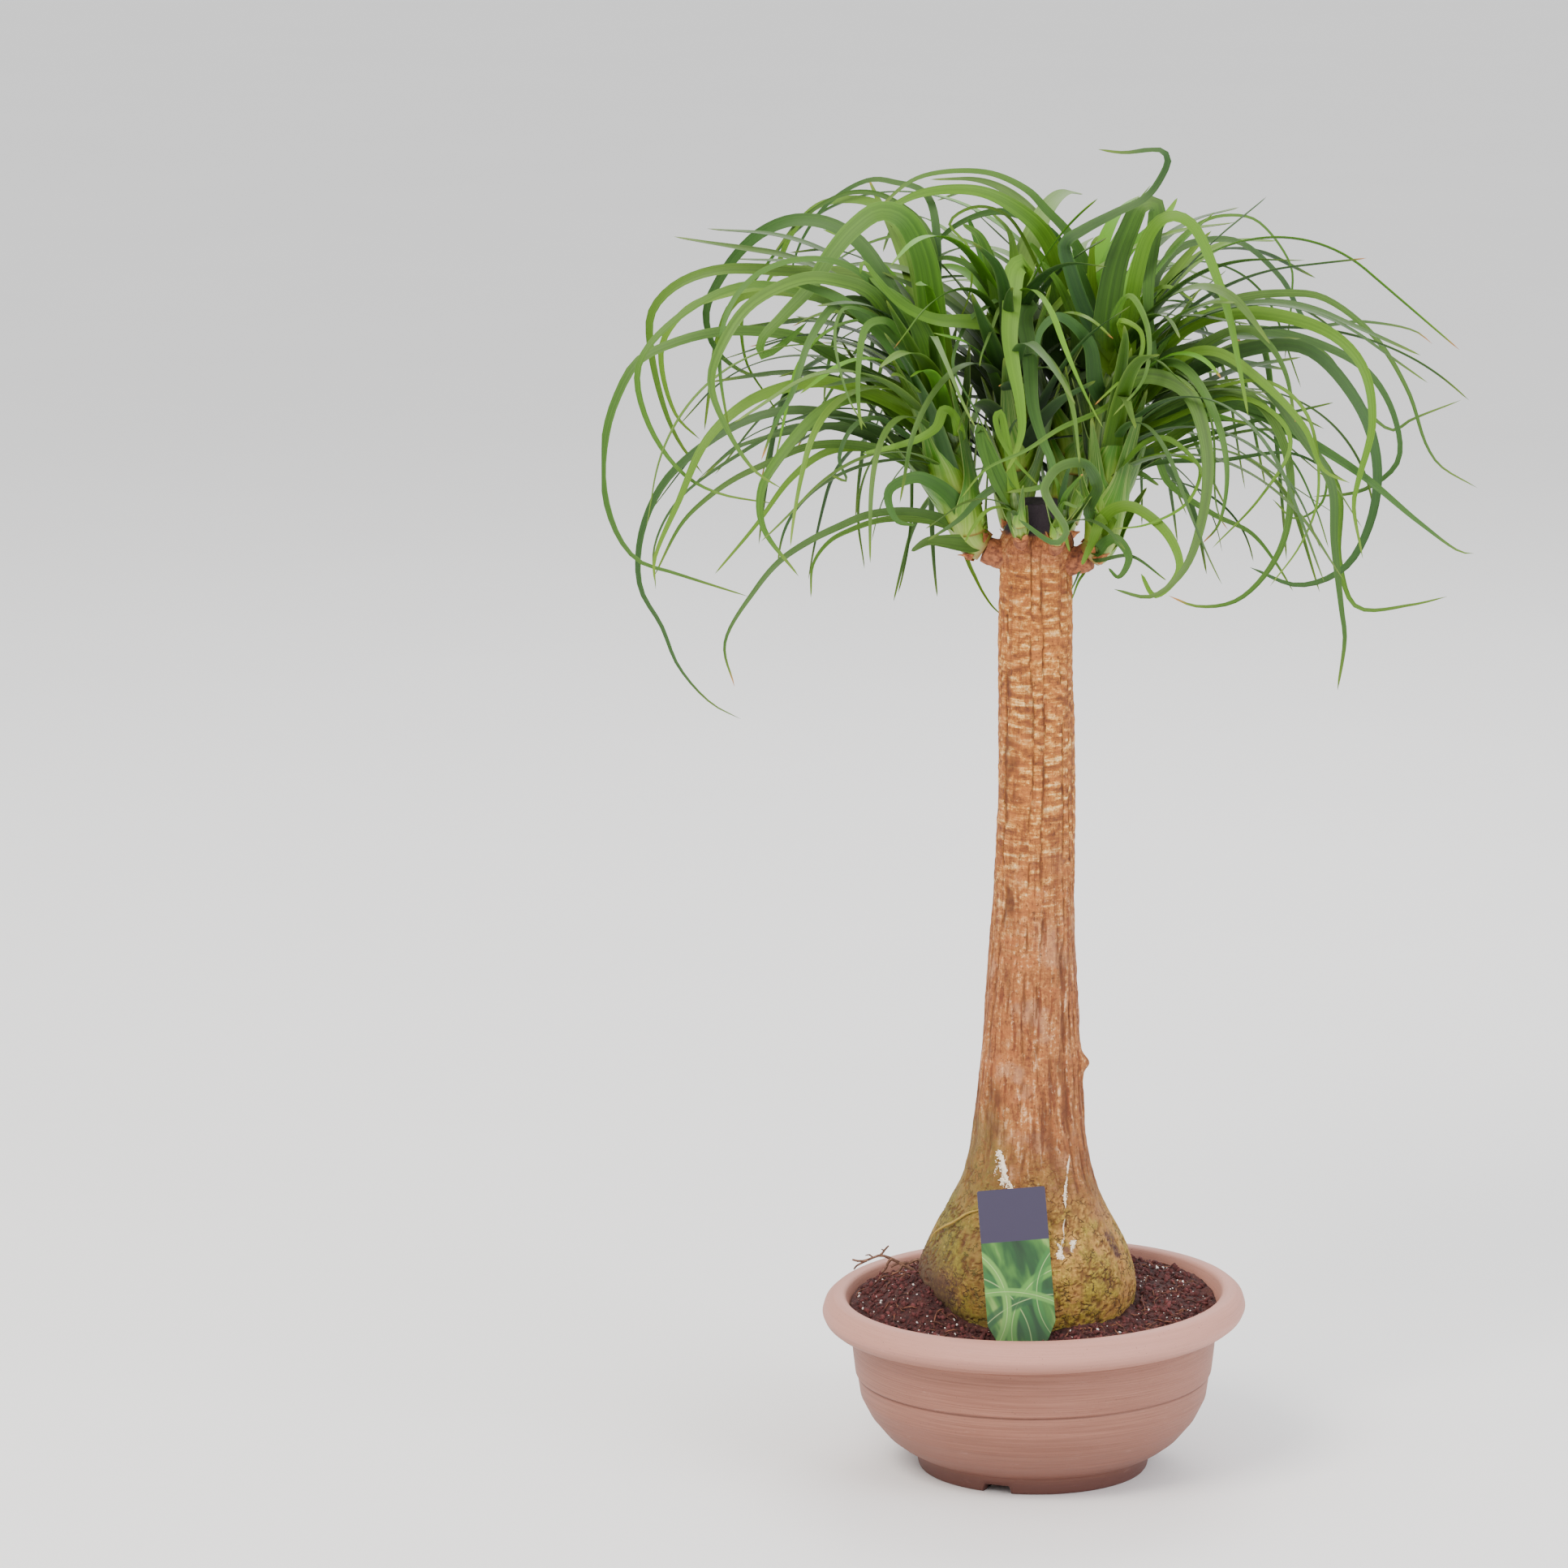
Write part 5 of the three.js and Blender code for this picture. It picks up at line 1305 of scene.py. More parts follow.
def soilFinish():
    f = Finish("soil")
    grain = f.cloud(f.place(), 300.0, 6, 0.7)
    patches = f.cloud(f.place(), 45.0, 4, 0.6)
    lumps = f.cells(f.place(), 190.0)
    base = f.blend(f.step(grain, 0.32, 0.7), "#1d0909", "#4e2120")
    base = f.blend(f.step(patches, 0.45, 0.7) * 0.5, base, "#592c22")
    base = f.blend(f.step(f.cloud(f.place(), 520.0, 2, 0.5), 0.68, 0.74) * 0.8, base, "#b8957c")
    return f.shade(Base_Color=base, Roughness=0.9, Normal=f.bump(grain - lumps, 0.002, 0.9))


def pebble():
    # three rings of six points and two poles
    base, shape = [], []
    for i in range(1, 4):
        tilt = math.pi * i / 4
        for k in range(6):
            a = 2 * math.pi * (k + 0.5 * (i % 2)) / 6
            base.append((math.sin(tilt) * math.cos(a), math.sin(tilt) * math.sin(a), math.cos(tilt)))
    base += [(0, 0, 1), (0, 0, -1)]
    for i in range(2):
        for k in range(6):
            a, b = i * 6 + k, i * 6 + (k + 1) % 6
            shape.append((a, a + 6, b + 6, b))
    for k in range(6):
        shape.append((18, k, (k + 1) % 6))
        shape.append((19, 12 + (k + 1) % 6, 12 + k))
    return np.array(base), shape


def scatterShapes(spots, sizes, seed, flat=0.8):
    # small uneven stones: one rounded shape, each copy turned, stretched and roughened
    base, shape = pebble()
    draw = np.random.default_rng(seed)
    points, faces = [], []
    for spot, size in zip(spots, sizes):
        pose = np.linalg.qr(draw.normal(size=(3, 3)))[0]
        pose *= np.sign(np.linalg.det(pose))
        stretch = size * draw.uniform([0.7, 0.5, flat * 0.5], [1.2, 1.0, flat])
        made = (base * (1 + 0.22 * draw.normal(size=(len(base), 1))) * stretch) @ pose
        faces += [tuple(len(base) * len(points) + v for v in face) for face in shape]
        points.append(made + spot)
    return np.concatenate(points), faces


def soilSpots(draw, count, sink):
    # places on the soil between the bulb and the rim, lower where the label stands
    s = soil
    angle = draw.uniform(0, 2 * math.pi, count)
    radius = np.sqrt(draw.uniform(s["looseFrom"] ** 2, s["looseTo"] ** 2, count))
    x, y = radius * np.cos(angle), radius * np.sin(angle)
    x0, y0, wide = s["label"]
    atLabel = np.hypot(x - x0, y - y0) < wide
    return np.stack([x, y, soilHeight(x, y) + sink - s["labelDrop"] * atLabel], 1)


def makeSurface():
    s = soil
    count = s["columns"]
    radii = np.linspace(s["outer"], s["inner"], s["rings"])
    angles = np.linspace(0, 2 * math.pi, count, endpoint=False)
    radius, angle = (grid.ravel() for grid in np.meshgrid(radii, angles, indexing="ij"))
    x, y = radius * np.cos(angle), radius * np.sin(angle)
    low = np.stack([x, y, np.full_like(x, s["skirt"])], 1)
    points = np.concatenate([low[:count], np.stack([x, y, soilHeight(x, y)], 1), low[-count:]])
    faces = gridFaces(s["rings"] + 2, count)
    last = (s["rings"] + 1) * count
    faces += [(last + k, last + (k + 1) % count, (k + 1) % count, k) for k in range(count)]
    settle(meshPiece("soilSurface", points, faces, soilFinish()), "soil", "soil")


def crumbFinish():
    f = Finish("soilCrumbs")
    grain = f.cloud(f.place(), 240.0, 5, 0.7)
    tint = f.cloud(f.place(), 90.0, 2, 0.5)
    base = f.blend(f.step(grain, 0.3, 0.7), "#220c0c", "#5c2927")
    base = f.blend(f.step(tint, 0.52, 0.66) * 0.5, base, "#7a4040")
    return f.shade(Base_Color=base, Roughness=0.92, Normal=f.bump(grain, 0.0012, 0.8))


def makeCrumbs(draw):
    s = soil
    spots = soilSpots(draw, s["crumbs"], 0.4)
    sizes = draw.uniform(1.2, 3.6, s["crumbs"]) * draw.uniform(0.7, 1.3, s["crumbs"])
    settle(meshPiece("soilCrumbs", *scatterShapes(spots, sizes, 6), crumbFinish()), "soil", "soil")

    spots = soilSpots(draw, s["grains"], 1.0)
    sizes = 0.6 + 1.3 * draw.uniform(0, 1, s["grains"]) ** 2.6
    look = grainLook("whiteGrains", "#cfc4bb", "#fbf6f2", (700.0, 4, 0.6), 0.75, (0.0005, 0.6))
    settle(meshPiece("whiteGrains", *scatterShapes(spots, sizes, 8, 0.95), look), "soil", "soil")


def makeFibres(draw):
    s = soil
    shares = [i / (s["fibreSteps"] - 1) for i in range(s["fibreSteps"])]
    radii = 0.32 + 0.38 * np.sin(np.pi * np.linspace(0.1, 0.9, s["fibreSteps"]))
    tubes = []
    for k in range(s["fibres"]):
        start = soilSpots(draw, 1, 0)[0]
        turn = draw.uniform(0, 2 * math.pi)
        length = draw.uniform(8, 26)
        sway = draw.uniform(-0.9, 0.9)
        path = []
        for share in shares:
            turned = turn + sway * share
            x = start[0] + length * share * math.cos(turned)
            y = start[1] + length * share * math.sin(turned)
            away = math.hypot(x, y)
            keep = min(max(away, s["looseFrom"] + 1), s["looseTo"]) / away
            x, y = x * keep, y * keep
            lift = 1.2 + 2.5 * math.sin(math.pi * share) * (k % 3 == 0)
            path.append((x, y, float(soilHeight(np.array([x]), np.array([y]))[0]) + lift))
        tubes.append(loftTube(np.array(path), radii, s["fibreSides"]))
    look = grainLook("soilFibres", "#34160f", "#7c4c37", (130.0, 3, 0.6), 0.85, edges=(0.35, 0.65))
    settle(meshPiece("soilFibres", *joinTubes(tubes, s["fibreSides"]), look), "soil", "soil")


# Dry twigs by the rim at the back left: each one's spots in the picture and its thickness.
twigs = {
    "depth": 38, "steps": 14, "sides": 8, "rough": 0.35,
    "runs": [
        ([(1131, 1568), (1118, 1561), (1106, 1555), (1094, 1549), (1083, 1547), (1070, 1552),
          (1059, 1554), (1050, 1552)], 1.7),
        ([(1084, 1547), (1088, 1543), (1090, 1540), (1095, 1535)], 1.2),
        ([(1090, 1541), (1086, 1539)], 0.8),
        ([(1068, 1553), (1060, 1557), (1055, 1560), (1052, 1564)], 1.2),
        ([(1098, 1551), (1094, 1556), (1092, 1562), (1086, 1568)], 1.5),
        ([(1140, 1556), (1130, 1552), (1120, 1556), (1108, 1556), (1098, 1561)], 1.6),
        ([(1076, 1550), (1071, 1546), (1066, 1547)], 0.8),
        ([(1112, 1558), (1108, 1565), (1100, 1570), (1090, 1577)], 1.3),
    ],
}


def makeTwigs():
    steps, sides = twigs["steps"], twigs["sides"]
    tubes = []
    for k, (spots, thick) in enumerate(twigs["runs"]):
        path = roundBend([fromPicture(*spot, twigs["depth"]) for spot in spots], steps)
        tubes.append(loftTube(path, thick * np.linspace(1.1, 0.6, steps), sides, twigs["rough"], 20 + k))
    look = grainLook("dryTwigs", "#4b2f25", "#8f6a55", (260.0, 4, 0.6), 0.85, (0.0008, 0.6), (0.35, 0.7))
    settle(meshPiece("dryTwigs", *joinTubes(tubes, sides), look), "soil", "soil")


# The plant label: a bevelled card that leans back against the bulb. Each arc of its picture has its
# middle across and up, its radius, half its width and its colour.
label = {
    "at": (-14, -114, 156), "lean": 15.5, "roll": 4.5, "wide": 63.5, "tall": 137, "thick": 1.2,
    "chamfer": 9, "foot": -7, "shoulder": 11, "corner": 2.2, "cornerCuts": 7, "stem": 12, "stemDeep": 30,
    "bevel": 0.25, "band": 88, "bandEdge": 0.3,
    "arcs": [
        (-62, -8, 70, 7.5, "#28602a"), (52, 0, 62, 6.0, "#568f3a"), (30, -60, 96, 6.5, "#1b4a26"),
        (-74, 30, 62, 5.0, "#6a9d46"), (76, 34, 60, 5.5, "#35702f"), (-20, -70, 112, 4.5, "#629843"),
    ],
}


def labelFinish():
    f = Finish("label")
    x, y = f.fact("cardX"), f.fact("cardY")
    soft = f.cloud(f.joined(x * 0.05 + y * 0.012, y * 0.016, 0.0), 1.0, 3, 0.5, 0.4)
    picture = f.ramp(soft, [(0.25, "#0b2211"), (0.45, "#1a471d"), (0.58, "#42752c"), (0.72, "#93b25c")])
    # broad leaves as arcs of several circles, each a soft-edged ring with a pale rib
    for across, up, reach, wide, tint in label["arcs"]:
        away = f.node("ShaderNodeMath", {"operation": "SQRT"}, {0: (x - across) ** 2 + (y - up) ** 2})
        off = f.node("ShaderNodeMath", {"operation": "ABSOLUTE"}, {0: away - reach})
        picture = f.blend((1 - f.step(off / wide, 0.55, 1.0)) * 0.85, picture, tint)
        picture = f.blend((1 - f.step(off / wide, 0.0, 0.12)) * 0.5, picture, "#bcd08c")
    picture = f.blend((1 - f.step(y, 0, 26)) * 0.45, picture, "#11281a")
    atBand = f.step(y, label["band"] - label["bandEdge"], label["band"] + label["bandEdge"])
    base = f.blend(f.fact("front"), "#e9e6df", f.blend(atBand, picture, "#322b43"))
    sheen = f.cloud(f.place(), 900.0, 2, 0.5)
    return f.shade(Base_Color=base, Roughness=0.30 + 0.08 * sheen, Coat_Weight=0.25, Coat_Roughness=0.25)


def labelOutline():
    half, stem = label["wide"] / 2, label["stem"] / 2
    right = [(stem, -label["stemDeep"]), (stem, label["foot"]), (half - label["chamfer"], label["foot"]),
             (half, label["shoulder"]), (half, label["tall"])]
    left = [(-x, y) for x, y in reversed(right)]
    corners = [np.array(c, float) for c in (left[-1], *right, *left[:-1])]
    befores, afters = corners[-1:] + corners[:-1], corners[1:] + corners[:1]
    return np.concatenate([cornerCurve(*three, label["corner"], label["cornerCuts"])
                           for three in zip(befores, corners, afters)])


def makeLabel():
    outline = labelOutline()
    count = len(outline)
    ways = unit(np.roll(outline, -1, 0) - np.roll(outline, 1, 0))
    inward = np.stack([-ways[:, 1], ways[:, 0]], 1)
    bevel, thick = label["bevel"], label["thick"]
    rows = [(bevel, 0), (0, bevel), (0, thick - bevel), (bevel, thick)]  # how far in, how high
    flat = np.concatenate([np.column_stack([outline + inward * inset, np.full(count, z)])
                           for inset, z in rows])
    lean, roll = math.radians(90 - label["lean"]), math.radians(label["roll"])
    cosLean, sinLean, cosRoll, sinRoll = math.cos(lean), math.sin(lean), math.cos(roll), math.sin(roll)
    leanTurn = np.array([[1, 0, 0], [0, cosLean, -sinLean], [0, sinLean, cosLean]])
    rollTurn = np.array([[cosRoll, -sinRoll, 0], [sinRoll, cosRoll, 0], [0, 0, 1]])
    points = flat @ (leanTurn @ rollTurn).T + label["at"]
    piece = meshPiece("plantLabel", points, tubeFaces(len(rows), count), labelFinish(), flat=True)
    storeFacts(piece, {"cardX": flat[:, 0], "cardY": flat[:, 1], "front": flat[:, 2] > thick / 2})
    settle(piece, "label", "label")


# How a leaf is drawn: its cross-section, the flare of its base, its waves and taper, how much a narrow
# leaf is widened against a broad one, how far it stays inside the model's box, and where the crown's
# shaded heart is.
blade = {
    "across": [1, 0.5, 0, -0.5, -1], "under": [-0.62, 0, 0.62], "thick": 0.8,
    "cup": 0.06, "cupMost": 1.0, "flare": 0.35, "flareUpTo": 0.16, "wave": 9.0, "tip": 3,
    "wider": (1.25, 1.0), "broad": (12, 24), "taper": (1.2, 0.85), "inBox": 0.2,
    "heart": (-8, 75, 990), "heartSize": (125, 120, 135), "fineTip": 2.5,
}
bladeSections = [(u, 0) for u in blade["across"]] + [(u, 1) for u in blade["under"]]


def bladeWidth(leaf, t):
    # nearly full width at first, then an even taper to a fine tip
    wider = np.interp(leaf["widest"], blade["broad"], blade["wider"])
    bend, fade = blade["taper"]
    tip = min(leaf["tip"], blade["tip"])
    return tip + (leaf["widest"] * wider - tip) * (1 - t ** bend) ** fade


def pointed(t):
    # 1 along a leaf, then quickly down to a point at its tip
    return np.minimum(1, 0.12 + np.sqrt(np.maximum(0, (1 - t) * 30)))


def bladeRings(leaf, seed):
    # the leaf's fine rings, how far along each lies, and how far each faces the sky
    t = np.linspace(0, 1, len(leaf["path"]))
    draw = np.random.default_rng(seed)
    base = 1 - smooth(0, blade["flareUpTo"], t)
    width = bladeWidth(leaf, t) * (1 + blade["flare"] * base) * pointed(t)
    cup = np.minimum(blade["cupMost"], width * blade["cup"]) * (1 + 1.2 * base)
    thick = np.minimum(blade["thick"], width * 0.3)
    waves = t * draw.uniform(0.8, 2.4) + draw.uniform()
    lean = np.radians(blade["wave"]) * np.sin(2 * math.pi * waves) * t
    ahead = unit(np.cross(leaf["side"], leaf["up"]))
    side, up = turnAbout(leaf["side"], ahead, lean), turnAbout(leaf["up"], ahead, lean)
    rings = []
    for u, low in bladeSections:
        drop = cup * (1 - u * u) + thick * low
        rings.append(leaf["path"] + side * (width * u / 2)[:, None] - up * drop[:, None])
    return np.stack(rings, 1), t, up[:, 2]


def inCadBox(points):
    low, high = (np.array(corner) / mm for corner in cadBox)
    return np.clip(points, low + blade["inBox"], high - blade["inBox"])


def leafFinish():
    f = Finish("leaf")
    along, across, under, sky = f.fact("along"), f.fact("across"), f.fact("under"), f.fact("sky")
    tone, young = f.fact("tone"), f.fact("young")
    streaks = f.cloud(f.joined(across * 6.0, along * 1.1, tone * 60.0), 1.0, 3, 0.55)
    fine = f.cloud(f.joined(across * 26.0, along * 2.0, tone * 90.0), 1.0, 3, 0.6)
    patches = f.cloud(f.place(), 26.0, 4, 0.55)
    deep = f.blend(tone, "#13290a", "#2e510f")
    light = f.blend(tone, "#2a4f10", "#577f20")
    base = f.blend(f.step(streaks, 0.25, 0.75), deep, light)
    base = f.blend(f.step(fine, 0.40, 0.7) * 0.12, base, "#5d8635")
    # painted light and sheen on the upper side where it faces the sky
    base = f.blend(sky * (0.06 + 0.48 * patches) * (1 - under), base, "#70884a")
    base = f.blend(f.step(tone, 0.55, 0.9) * 0.32, base, "#6b9218")
    base = f.blend((1 - f.step(tone, 0.1, 0.45)) * 0.28, base, "#35563a")
    base = f.blend(young * 0.8, base, "#569010")
    # painted shade on each leaf's underside
    base = f.blend(under * 0.55, base, "#1b3f07")
    base = f.blend(f.step(across ** 2.0, 0.86, 1.0) * 0.22, base, "#7ba04c")
    base = f.blend((1 - f.step(along, 0.0, 0.13)) * 0.6, base, "#6a9020")
    # painted shade in the crown's heart, darkest nearest its middle
    base = f.blend(f.fact("inside") * 0.74, base, "#0e1e0b")
    slender = f.fact("dry") > 0.02  # a broad leaf's tip stays green
    base = f.blend(f.step(along + 0.10 * (patches - 0.5), 0.86, 0.99) * 0.5 * slender, base, "#6d8428")
    base = f.blend(f.step(along, 0.95, 0.99) * (f.fact("dry") > 0.86), base, "#a8733a")
    dull = 0.46 + 0.16 * patches + 0.3 * f.fact("inside")
    return f.shade(Base_Color=base, Roughness=dull, Specular_IOR_Level=0.25,
                   Normal=f.bump(streaks + 0.5 * fine, 0.0003, 0.2))


def sheathFinish():
    f = Finish("sheath")
    along, across, tone = f.fact("along"), f.fact("across"), f.fact("tone")
    streaks = f.cloud(f.joined(across * 9.0, along * 1.5, tone * 40.0), 1.0, 4, 0.6)
    patches = f.cloud(f.place(), 55.0, 4, 0.6)
    base = f.ramp(along + 0.10 * (streaks - 0.5), [
        (0.0, "#8fa63c"), (0.10, "#6c9224"), (0.24, "#457a16"), (0.45, "#27550e")])
    base = f.blend(f.step(streaks, 0.40, 0.66) * 0.35, base, "#a3b65c")
    base = f.blend((1 - f.step(streaks, 0.34, 0.50)) * 0.45, base, "#38680f")
    base = f.blend(f.step(patches, 0.50, 0.66) * 0.3, base, "#456f18")
    base = f.blend(f.step(across ** 2.0, 0.90, 1.0) * 0.3, base, "#9fae62")
    base = f.blend((1 - f.step(along + 0.03 * patches, 0.015, 0.045)) * 0.8, base, "#7d4d26")
    base = f.blend(f.step(along, 0.88, 0.99) * 0.5, base, "#7f9434")
    return f.shade(Base_Color=base, Roughness=0.44 + 0.1 * patches, Specular_IOR_Level=0.35,
                   Normal=f.bump(streaks, 0.0005, 0.35))


def scrapFinish():
    f = Finish("dryScraps")
    along = f.fact("along")
    grain = f.cloud(f.place(), 190.0, 5, 0.65)
    base = f.blend(f.step(grain, 0.32, 0.68), "#6b3014", "#b8743c")
    base = f.blend(f.step(along, 0.5, 1.0) * 0.5, base, "#c9925a")
    return f.shade(Base_Color=base, Roughness=0.85, Normal=f.bump(grain, 0.0008, 0.6))


def stemFinish():
    f = Finish("shootStem")
    along, across = f.fact("along"), f.fact("across")
    streaks = f.cloud(f.joined(across * 22.0, along * 1.5, 0.0), 1.0, 4, 0.6)
    patches = f.cloud(f.place(), 40.0, 4, 0.55)
    base = f.blend(f.step(along, 0.05, 0.40), "#84a038", "#25500f")
    base = f.blend(f.step(streaks, 0.35, 0.7) * 0.3, base, "#bcc878")
    base = f.blend(f.step(patches, 0.5, 0.68) * 0.3, base, "#7f9c48")
    base = f.blend((1 - f.step(along + 0.04 * patches, 0.02, 0.07)) * 0.8, base, "#8a5a35")
    return f.shade(Base_Color=base, Roughness=0.42, Normal=f.bump(streaks, 0.0008, 0.5))


looks = {"leaf": leafFinish(), "stem": stemFinish(), "sheath": sheathFinish(), "scrap": scrapFinish()}

# Finer leaves between the model's own, for each kind: how many, which part of the stem they leave, how
# far from upright they rise and fall, their length, width and curl, and how high they may reach.
fillers = {
    "inner": {"count": 32, "from": (0.2, 0.95), "rise": (2, 34), "fall": (46, 120), "length": (160, 340),
              "wide": (16, 29), "curl": 40, "top": 1208},
    "arching": {"count": 3, "from": (0.15, 0.85), "rise": (22, 62), "fall": (112, 168),
                "length": (300, 470), "wide": (9, 16), "curl": 90, "top": 1215},
    "curly": {"count": 2, "from": (0.1, 0.9), "rise": (25, 70), "fall": (150, 260), "length": (170, 330),
              "wide": (4, 8), "curl": 220, "top": 1190},
}
fillerRule = {"attempts": 12, "steps": 8, "inBox": 12, "seed": 90000, "shootSeed": 9000, "kindSeed": 2000,
              "leafSeed": 40}


def isSmall(shoot):
    return shoot["lowest"] is smallCrown


def fillerLeaf(shoot, stem, rule, i, draw):
    low, high = rule["from"]
    foot = stem.point(low + (high - low) * draw())
    bearing = shoot["from"] + shoot["sweep"] * ((i * leafRule["goldenShare"] + 0.3 * draw()) % 1)
    length, wide, rise, fall = (rule[key][0] + (rule[key][1] - rule[key][0]) * draw()
                                for key in ("length", "wide", "rise", "fall"))
    bend = 0.7 + 0.3 * draw()
    path = archedPath(foot, bearing, length, rise, fall, bend, rule["curl"] * (draw() - 0.5))
    twist = 100 * (draw() - 0.5)
    age = float(draw() > 0.6) * (rise < 20)
    return buildLeaf(path, levelSide(bearing), twist, wide, leafRule["tip"], age=age)


def moreLeaves(name, shoot, stem, order, taken):
    # kept off the trunk and inside the crown, each where it crosses the fewest others
    made = []
    low, high = (np.array(corner) / mm for corner in cadBox)
    low, high = low + fillerRule["inBox"], high - fillerRule["inBox"]

    def candidates(rule, seed, i):
        for attempt in range(fillerRule["attempts"]):
            leaf = fillerLeaf(shoot, stem, rule, i, seededDraw(seed + attempt))
            path = leaf["path"]
            edges = bladeEdges(leaf, fillerRule["steps"])
            outside = path[:, 2].max() > rule["top"] or (path < low).any() or (path > high).any()
            if not (outside or leavesCrown(path, shoot["lowest"]) or nearTrunk(edges)):
                cells = cellsOf(edges)
                yield sum(len(cells & others) for others in taken.values()), leaf, cells

    for kind, rule in enumerate(fillers.values()):
        for i in range(rule["count"]):
            seed = (fillerRule["seed"] + order * fillerRule["shootSeed"] + kind * fillerRule["kindSeed"]
                    + i * fillerRule["leafSeed"])
            keepBest(candidates(rule, seed, i), made, taken[name])
    return made


# The clasping bases: each wraps its stem like a leek's layer, opens and runs out into a leaf. The dry
# scraps are what old ones left behind.
sheath = {
    "leaf": {"count": 12, "upTo": 0.55, "length": (70, 190), "wide": (15, 25), "hug": (14, 38),
             "wrap": 96, "opens": 0.42, "droop": (0.000, 0.005), "splay": 0.30, "stand": 0.6, "tip": 1.6},
    "small": {"count": 4, "upTo": 0.55, "length": (26, 60), "wide": (6, 9), "hug": (6, 14),
              "wrap": 90, "opens": 0.40, "droop": (0.000, 0.010), "splay": 0.4, "stand": 0.4, "tip": 1.2},
    "scrap": {"count": 5, "upTo": 0.03, "length": (7, 14), "wide": (4, 7), "hug": (3, 8),
              "wrap": 26, "opens": 0.7, "droop": (0.0, 0.05), "splay": 0.5, "stand": 1.4, "tip": 0.8},
    "across": np.linspace(1, -1, 11), "thick": 0.8, "steps": 36, "goldenAngle": 137.5, "openWrap": 0.30,
}


def sheathLeaf(shoot, stem, rule, i, draw):
    # along the stem at first, then free and bending down under its own weight
    share = 0.005 + rule["upTo"] * i / rule["count"]
    angle = math.radians(sheath["goldenAngle"] * i + 60 * draw())
    length, wide, hug, droop = (np.interp(draw(), [0, 1], rule[key])
                                for key in ("length", "wide", "hug", "droop"))
    ring = ringAround(np.zeros(3), stem.ahead(share), 1, 4)
    facing = outward = math.cos(angle) * ring[0] + math.sin(angle) * ring[1]
    step = length / sheath["steps"]
    path = []
    for k in range(sheath["steps"] + 1):
        run = k * step
        if run <= hug:
            at = min(0.98, share + run / stem.lengths[-1])
            ahead = stem.ahead(at)
            outward = unit(outward - ahead * (outward * ahead).sum())
            reach = spread(shoot["radii"], at) + rule["stand"] + 0.04 * run
            path.append(stem.point(at) + outward * reach)
            way = unit(ahead + rule["splay"] * outward)
        else:
            way = unit(way + np.array([0, 0, -1]) * droop * step)
            path.append(path[-1] + way * step)
    path = np.array(path)
    side = unit(np.cross(-facing, unit(path[1] - path[0])))
    radius = spread(shoot["radii"], share) + rule["stand"]
    return buildLeaf(path, lambda ahead: np.tile(side, (len(ahead), 1)), 40 * (draw() - 0.5), wide,
                     rule["tip"], radius=radius, wrap=math.radians(rule["wrap"]), opens=rule["opens"])


def sheathRings(leaf):
    # arcs that close about the stem at the base and flatten along the way
    t = np.linspace(0, 1, len(leaf["path"]))
    opened = smooth(0, leaf["opens"], t)
    wrap = leaf["wrap"] * (1 - opened) + sheath["openWrap"]
    half = leaf["radius"] * leaf["wrap"] * (1 - opened) + bladeWidth(leaf, t) / 2 * opened
    half = half * pointed(t)
    reach = half / wrap
    thick = np.minimum(sheath["thick"], half * 0.4)
    rings = []
    for inner, spots in ((1, sheath["across"]), (0, sheath["across"][::-1])):
        size = reach - inner * thick
        for u in spots:
            phi = wrap * u
            rings.append(leaf["path"] + leaf["side"] * (size * np.sin(phi))[:, None]
                         + leaf["up"] * (reach - size * np.cos(phi))[:, None])
    return np.stack(rings, 1), t


def stripsPiece(name, strips, crisp, look):
    # long closed strips as one piece: each has its rings of points and what the finish reads on them
    steps, sides = strips[0][0].shape[:2]
    points, faces = joinTubes([rings.reshape(-1, 3) for rings, _ in strips], sides)
    piece = meshPiece(name, inCadBox(points), faces, look)
    sharpen(piece, sides, crisp)
    storeFacts(piece, {key: np.concatenate([np.broadcast_to(facts[key], (steps, sides)).ravel()
                                            for _, facts in strips]) for key in strips[0][1]})
    return piece


def makeSheaths(name, shoot, stem, order, kind, look):
    across = sheath["across"]
    count = len(across)
    strips = []
    for i in range(sheath[kind]["count"]):
        draw = seededDraw(70000 + order * 900 + i * 13 + 7 * len(kind))
        rings, t = sheathRings(sheathLeaf(shoot, stem, sheath[kind], i, draw))
        strips.append((rings, {"along": t[:, None], "across": np.concatenate([across, across[::-1]]),
                               "under": np.repeat([0.0, 1.0], count), "tone": draw()}))
    return stripsPiece(name, strips, [0, count - 1, count, 2 * count - 1], look)


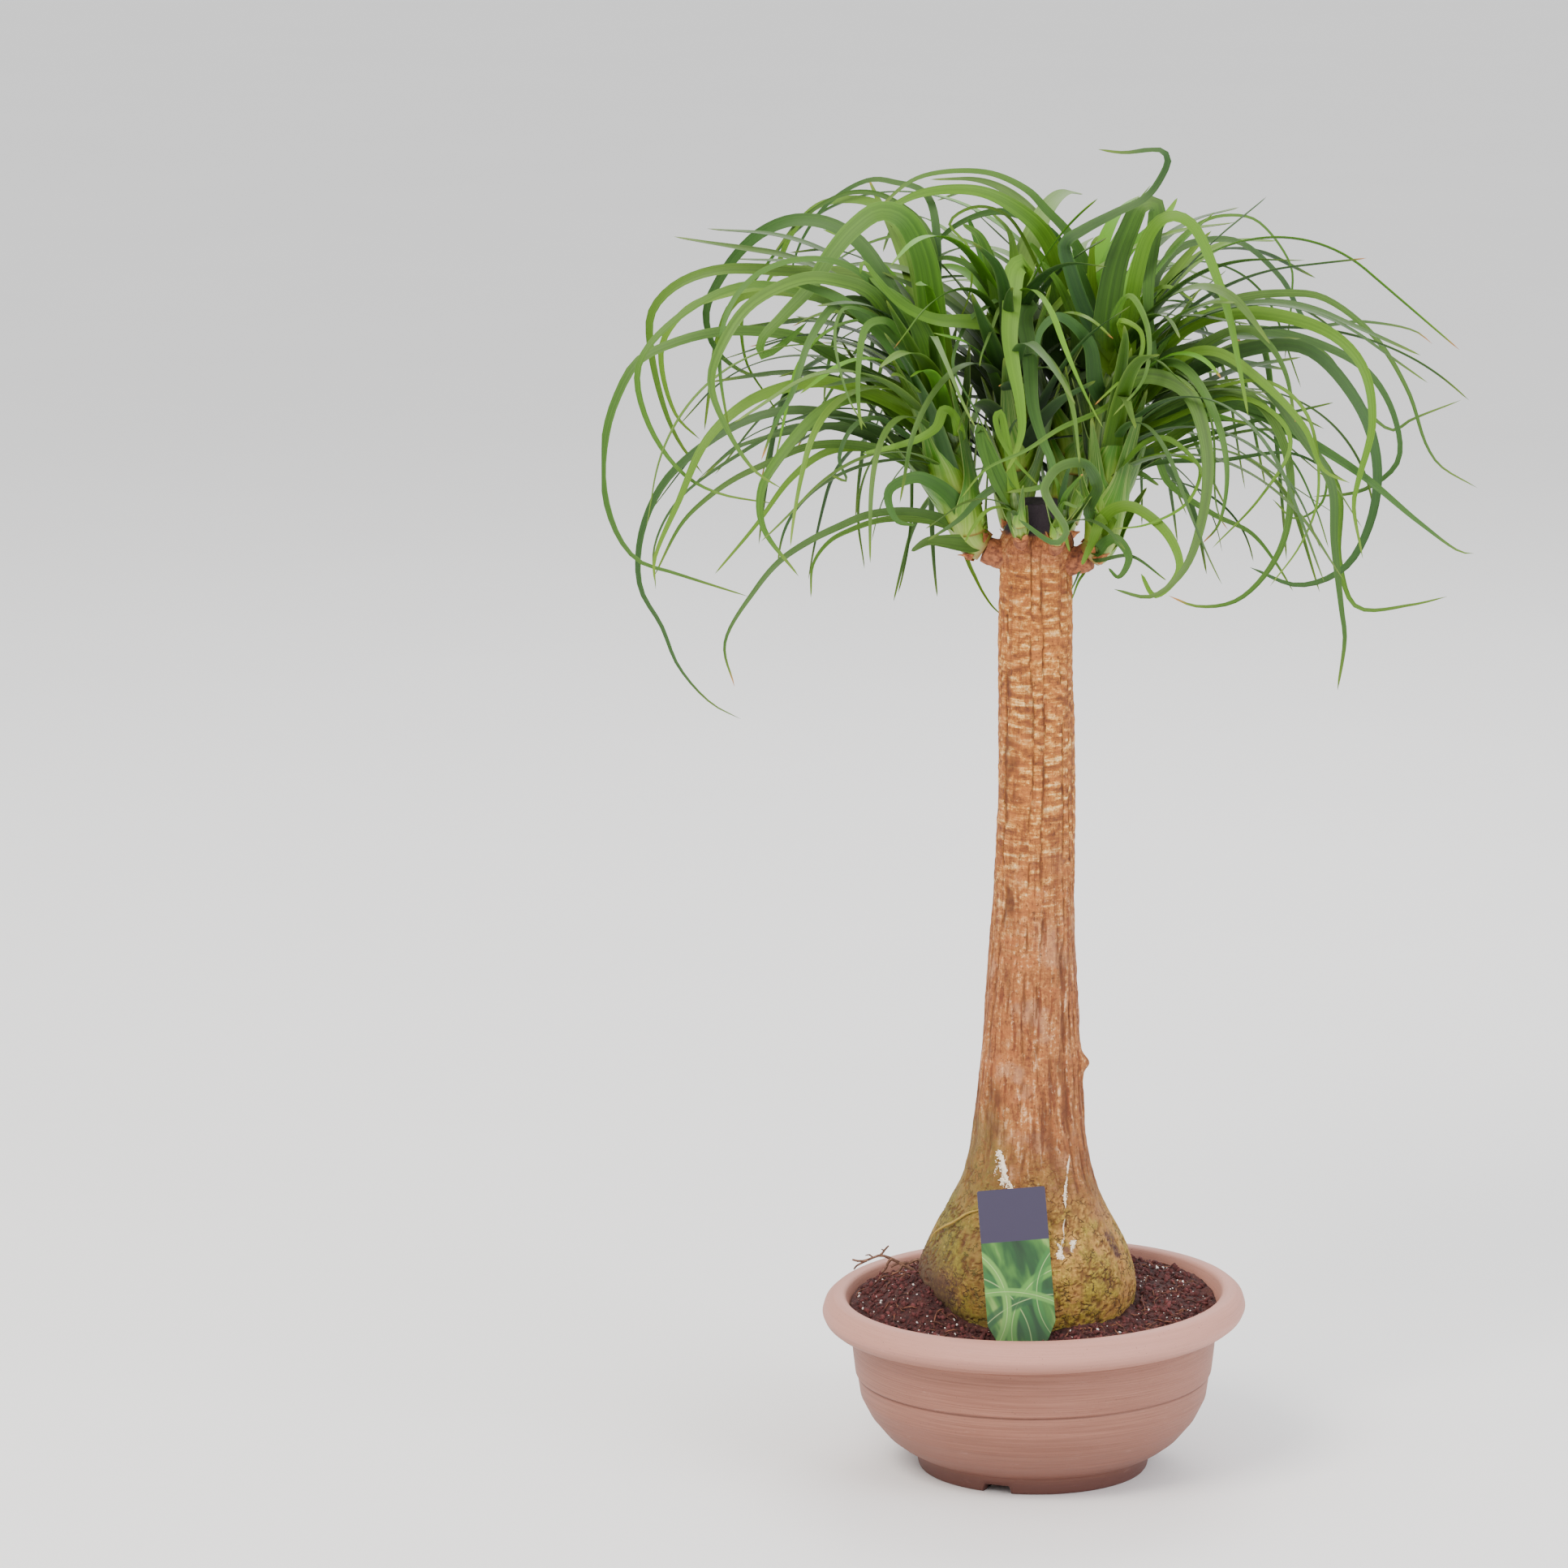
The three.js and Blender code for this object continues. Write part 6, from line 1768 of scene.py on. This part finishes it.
def makeLeaves(name, leaves, order):
    across, under = np.array(bladeSections, float).T
    strips = []
    for k, leaf in enumerate(leaves):
        rings, t, skyward = bladeRings(leaf, 1000 * order + k)
        draw = seededDraw(31 * order + 17 * k + 5)
        tone = draw() ** 1.3
        dry = draw() * (leaf["tip"] <= blade["fineTip"])
        # sky: how far each point faces the sky, for the painted light and sheen of the leaf finish
        strips.append((rings, {"along": t[:, None], "across": across, "under": under, "tone": tone,
                               "young": leaf["age"], "dry": dry,
                               "sky": smooth(-0.1, 0.9, skyward)[:, None]}))
    piece = stripsPiece(name + "Leaves", strips, [0, len(blade["across"]) - 1], looks["leaf"])
    points = np.concatenate([rings.reshape(-1, 3) for rings, _ in strips])
    # how deep each point lies in the crown's heart, for its painted shade
    away = lengthOf((inCadBox(points) - blade["heart"]) / blade["heartSize"])
    storeFacts(piece, {"inside": 1 - smooth(0.45, 1.1, away)})
    settle(piece, "leaf", "shoot_" + name)


stemRule = {"rows": 60, "sides": 36, "ripple": 0.03, "ripples": 46,
            "at": [0, 0.2, 0.9, 1], "share": [0.9, 0.94, 0.9, 0.5]}


def makeStem(name, shoot, stem):
    rows, sides = stemRule["rows"], stemRule["sides"]
    shares = np.linspace(0, 1, rows)
    path = np.array([stem.point(share) for share in shares])
    ripple = 1 + stemRule["ripple"] * np.sin(shares * stemRule["ripples"])
    ripple = ripple * np.interp(shares, stemRule["at"], stemRule["share"])
    radii = spread(shoot["radii"], shares) * ripple
    piece = meshPiece(name + "Stem", loftTube(path, radii, sides), tubeFaces(rows, sides), looks["stem"])
    storeFacts(piece, {"along": np.repeat(shares, sides),
                       "across": np.tile(np.abs(np.linspace(-1, 1, sides)), rows)})
    settle(piece, "leaf", "shoot_" + name)


def makeShoots():
    grown, stems, taken = growLeaves()
    print("stage: leaves grown")
    threads = {name: [] for name in shoots}
    for entry in tracedThreads:
        threads[entry[0]].append(tracedLeaf(stems[entry[0]], entry, 0))
    for order, (name, shoot) in enumerate(shoots.items()):
        stem = stems[name]
        finer = [] if isSmall(shoot) else moreLeaves(name, shoot, stem, order, taken)
        makeLeaves(name, grown[name] + threads[name] + finer, order)
        makeStem(name, shoot, stem)
        kind = "small" if isSmall(shoot) else "leaf"
        bases = makeSheaths(name + "Sheaths", shoot, stem, order, kind, looks["sheath"])
        settle(bases, "leaf", "shoot_" + name)
        scraps = makeSheaths(name + "Scraps", shoot, stem, order, "scrap", looks["scrap"])
        settle(scraps, "bark", "trunk")


makeTrunk()
makeStrands()
makeSapCrumbs()
makeStubs()
print("stage: trunk")
loose = np.random.default_rng(4)  # one draw for all that lies on the soil
makeSurface()
makeCrumbs(loose)
makeFibres(loose)
makeTwigs()
print("stage: soil")
makeLabel()
print("stage: label")

makeShoots()
print("stage: shoots")

bpy.context.view_layer.update()
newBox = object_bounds()
boxes = {name: [list(corner) for corner in box] for name, box in (("cad", cadBox), ("new", newBox))}
print("stage: done")
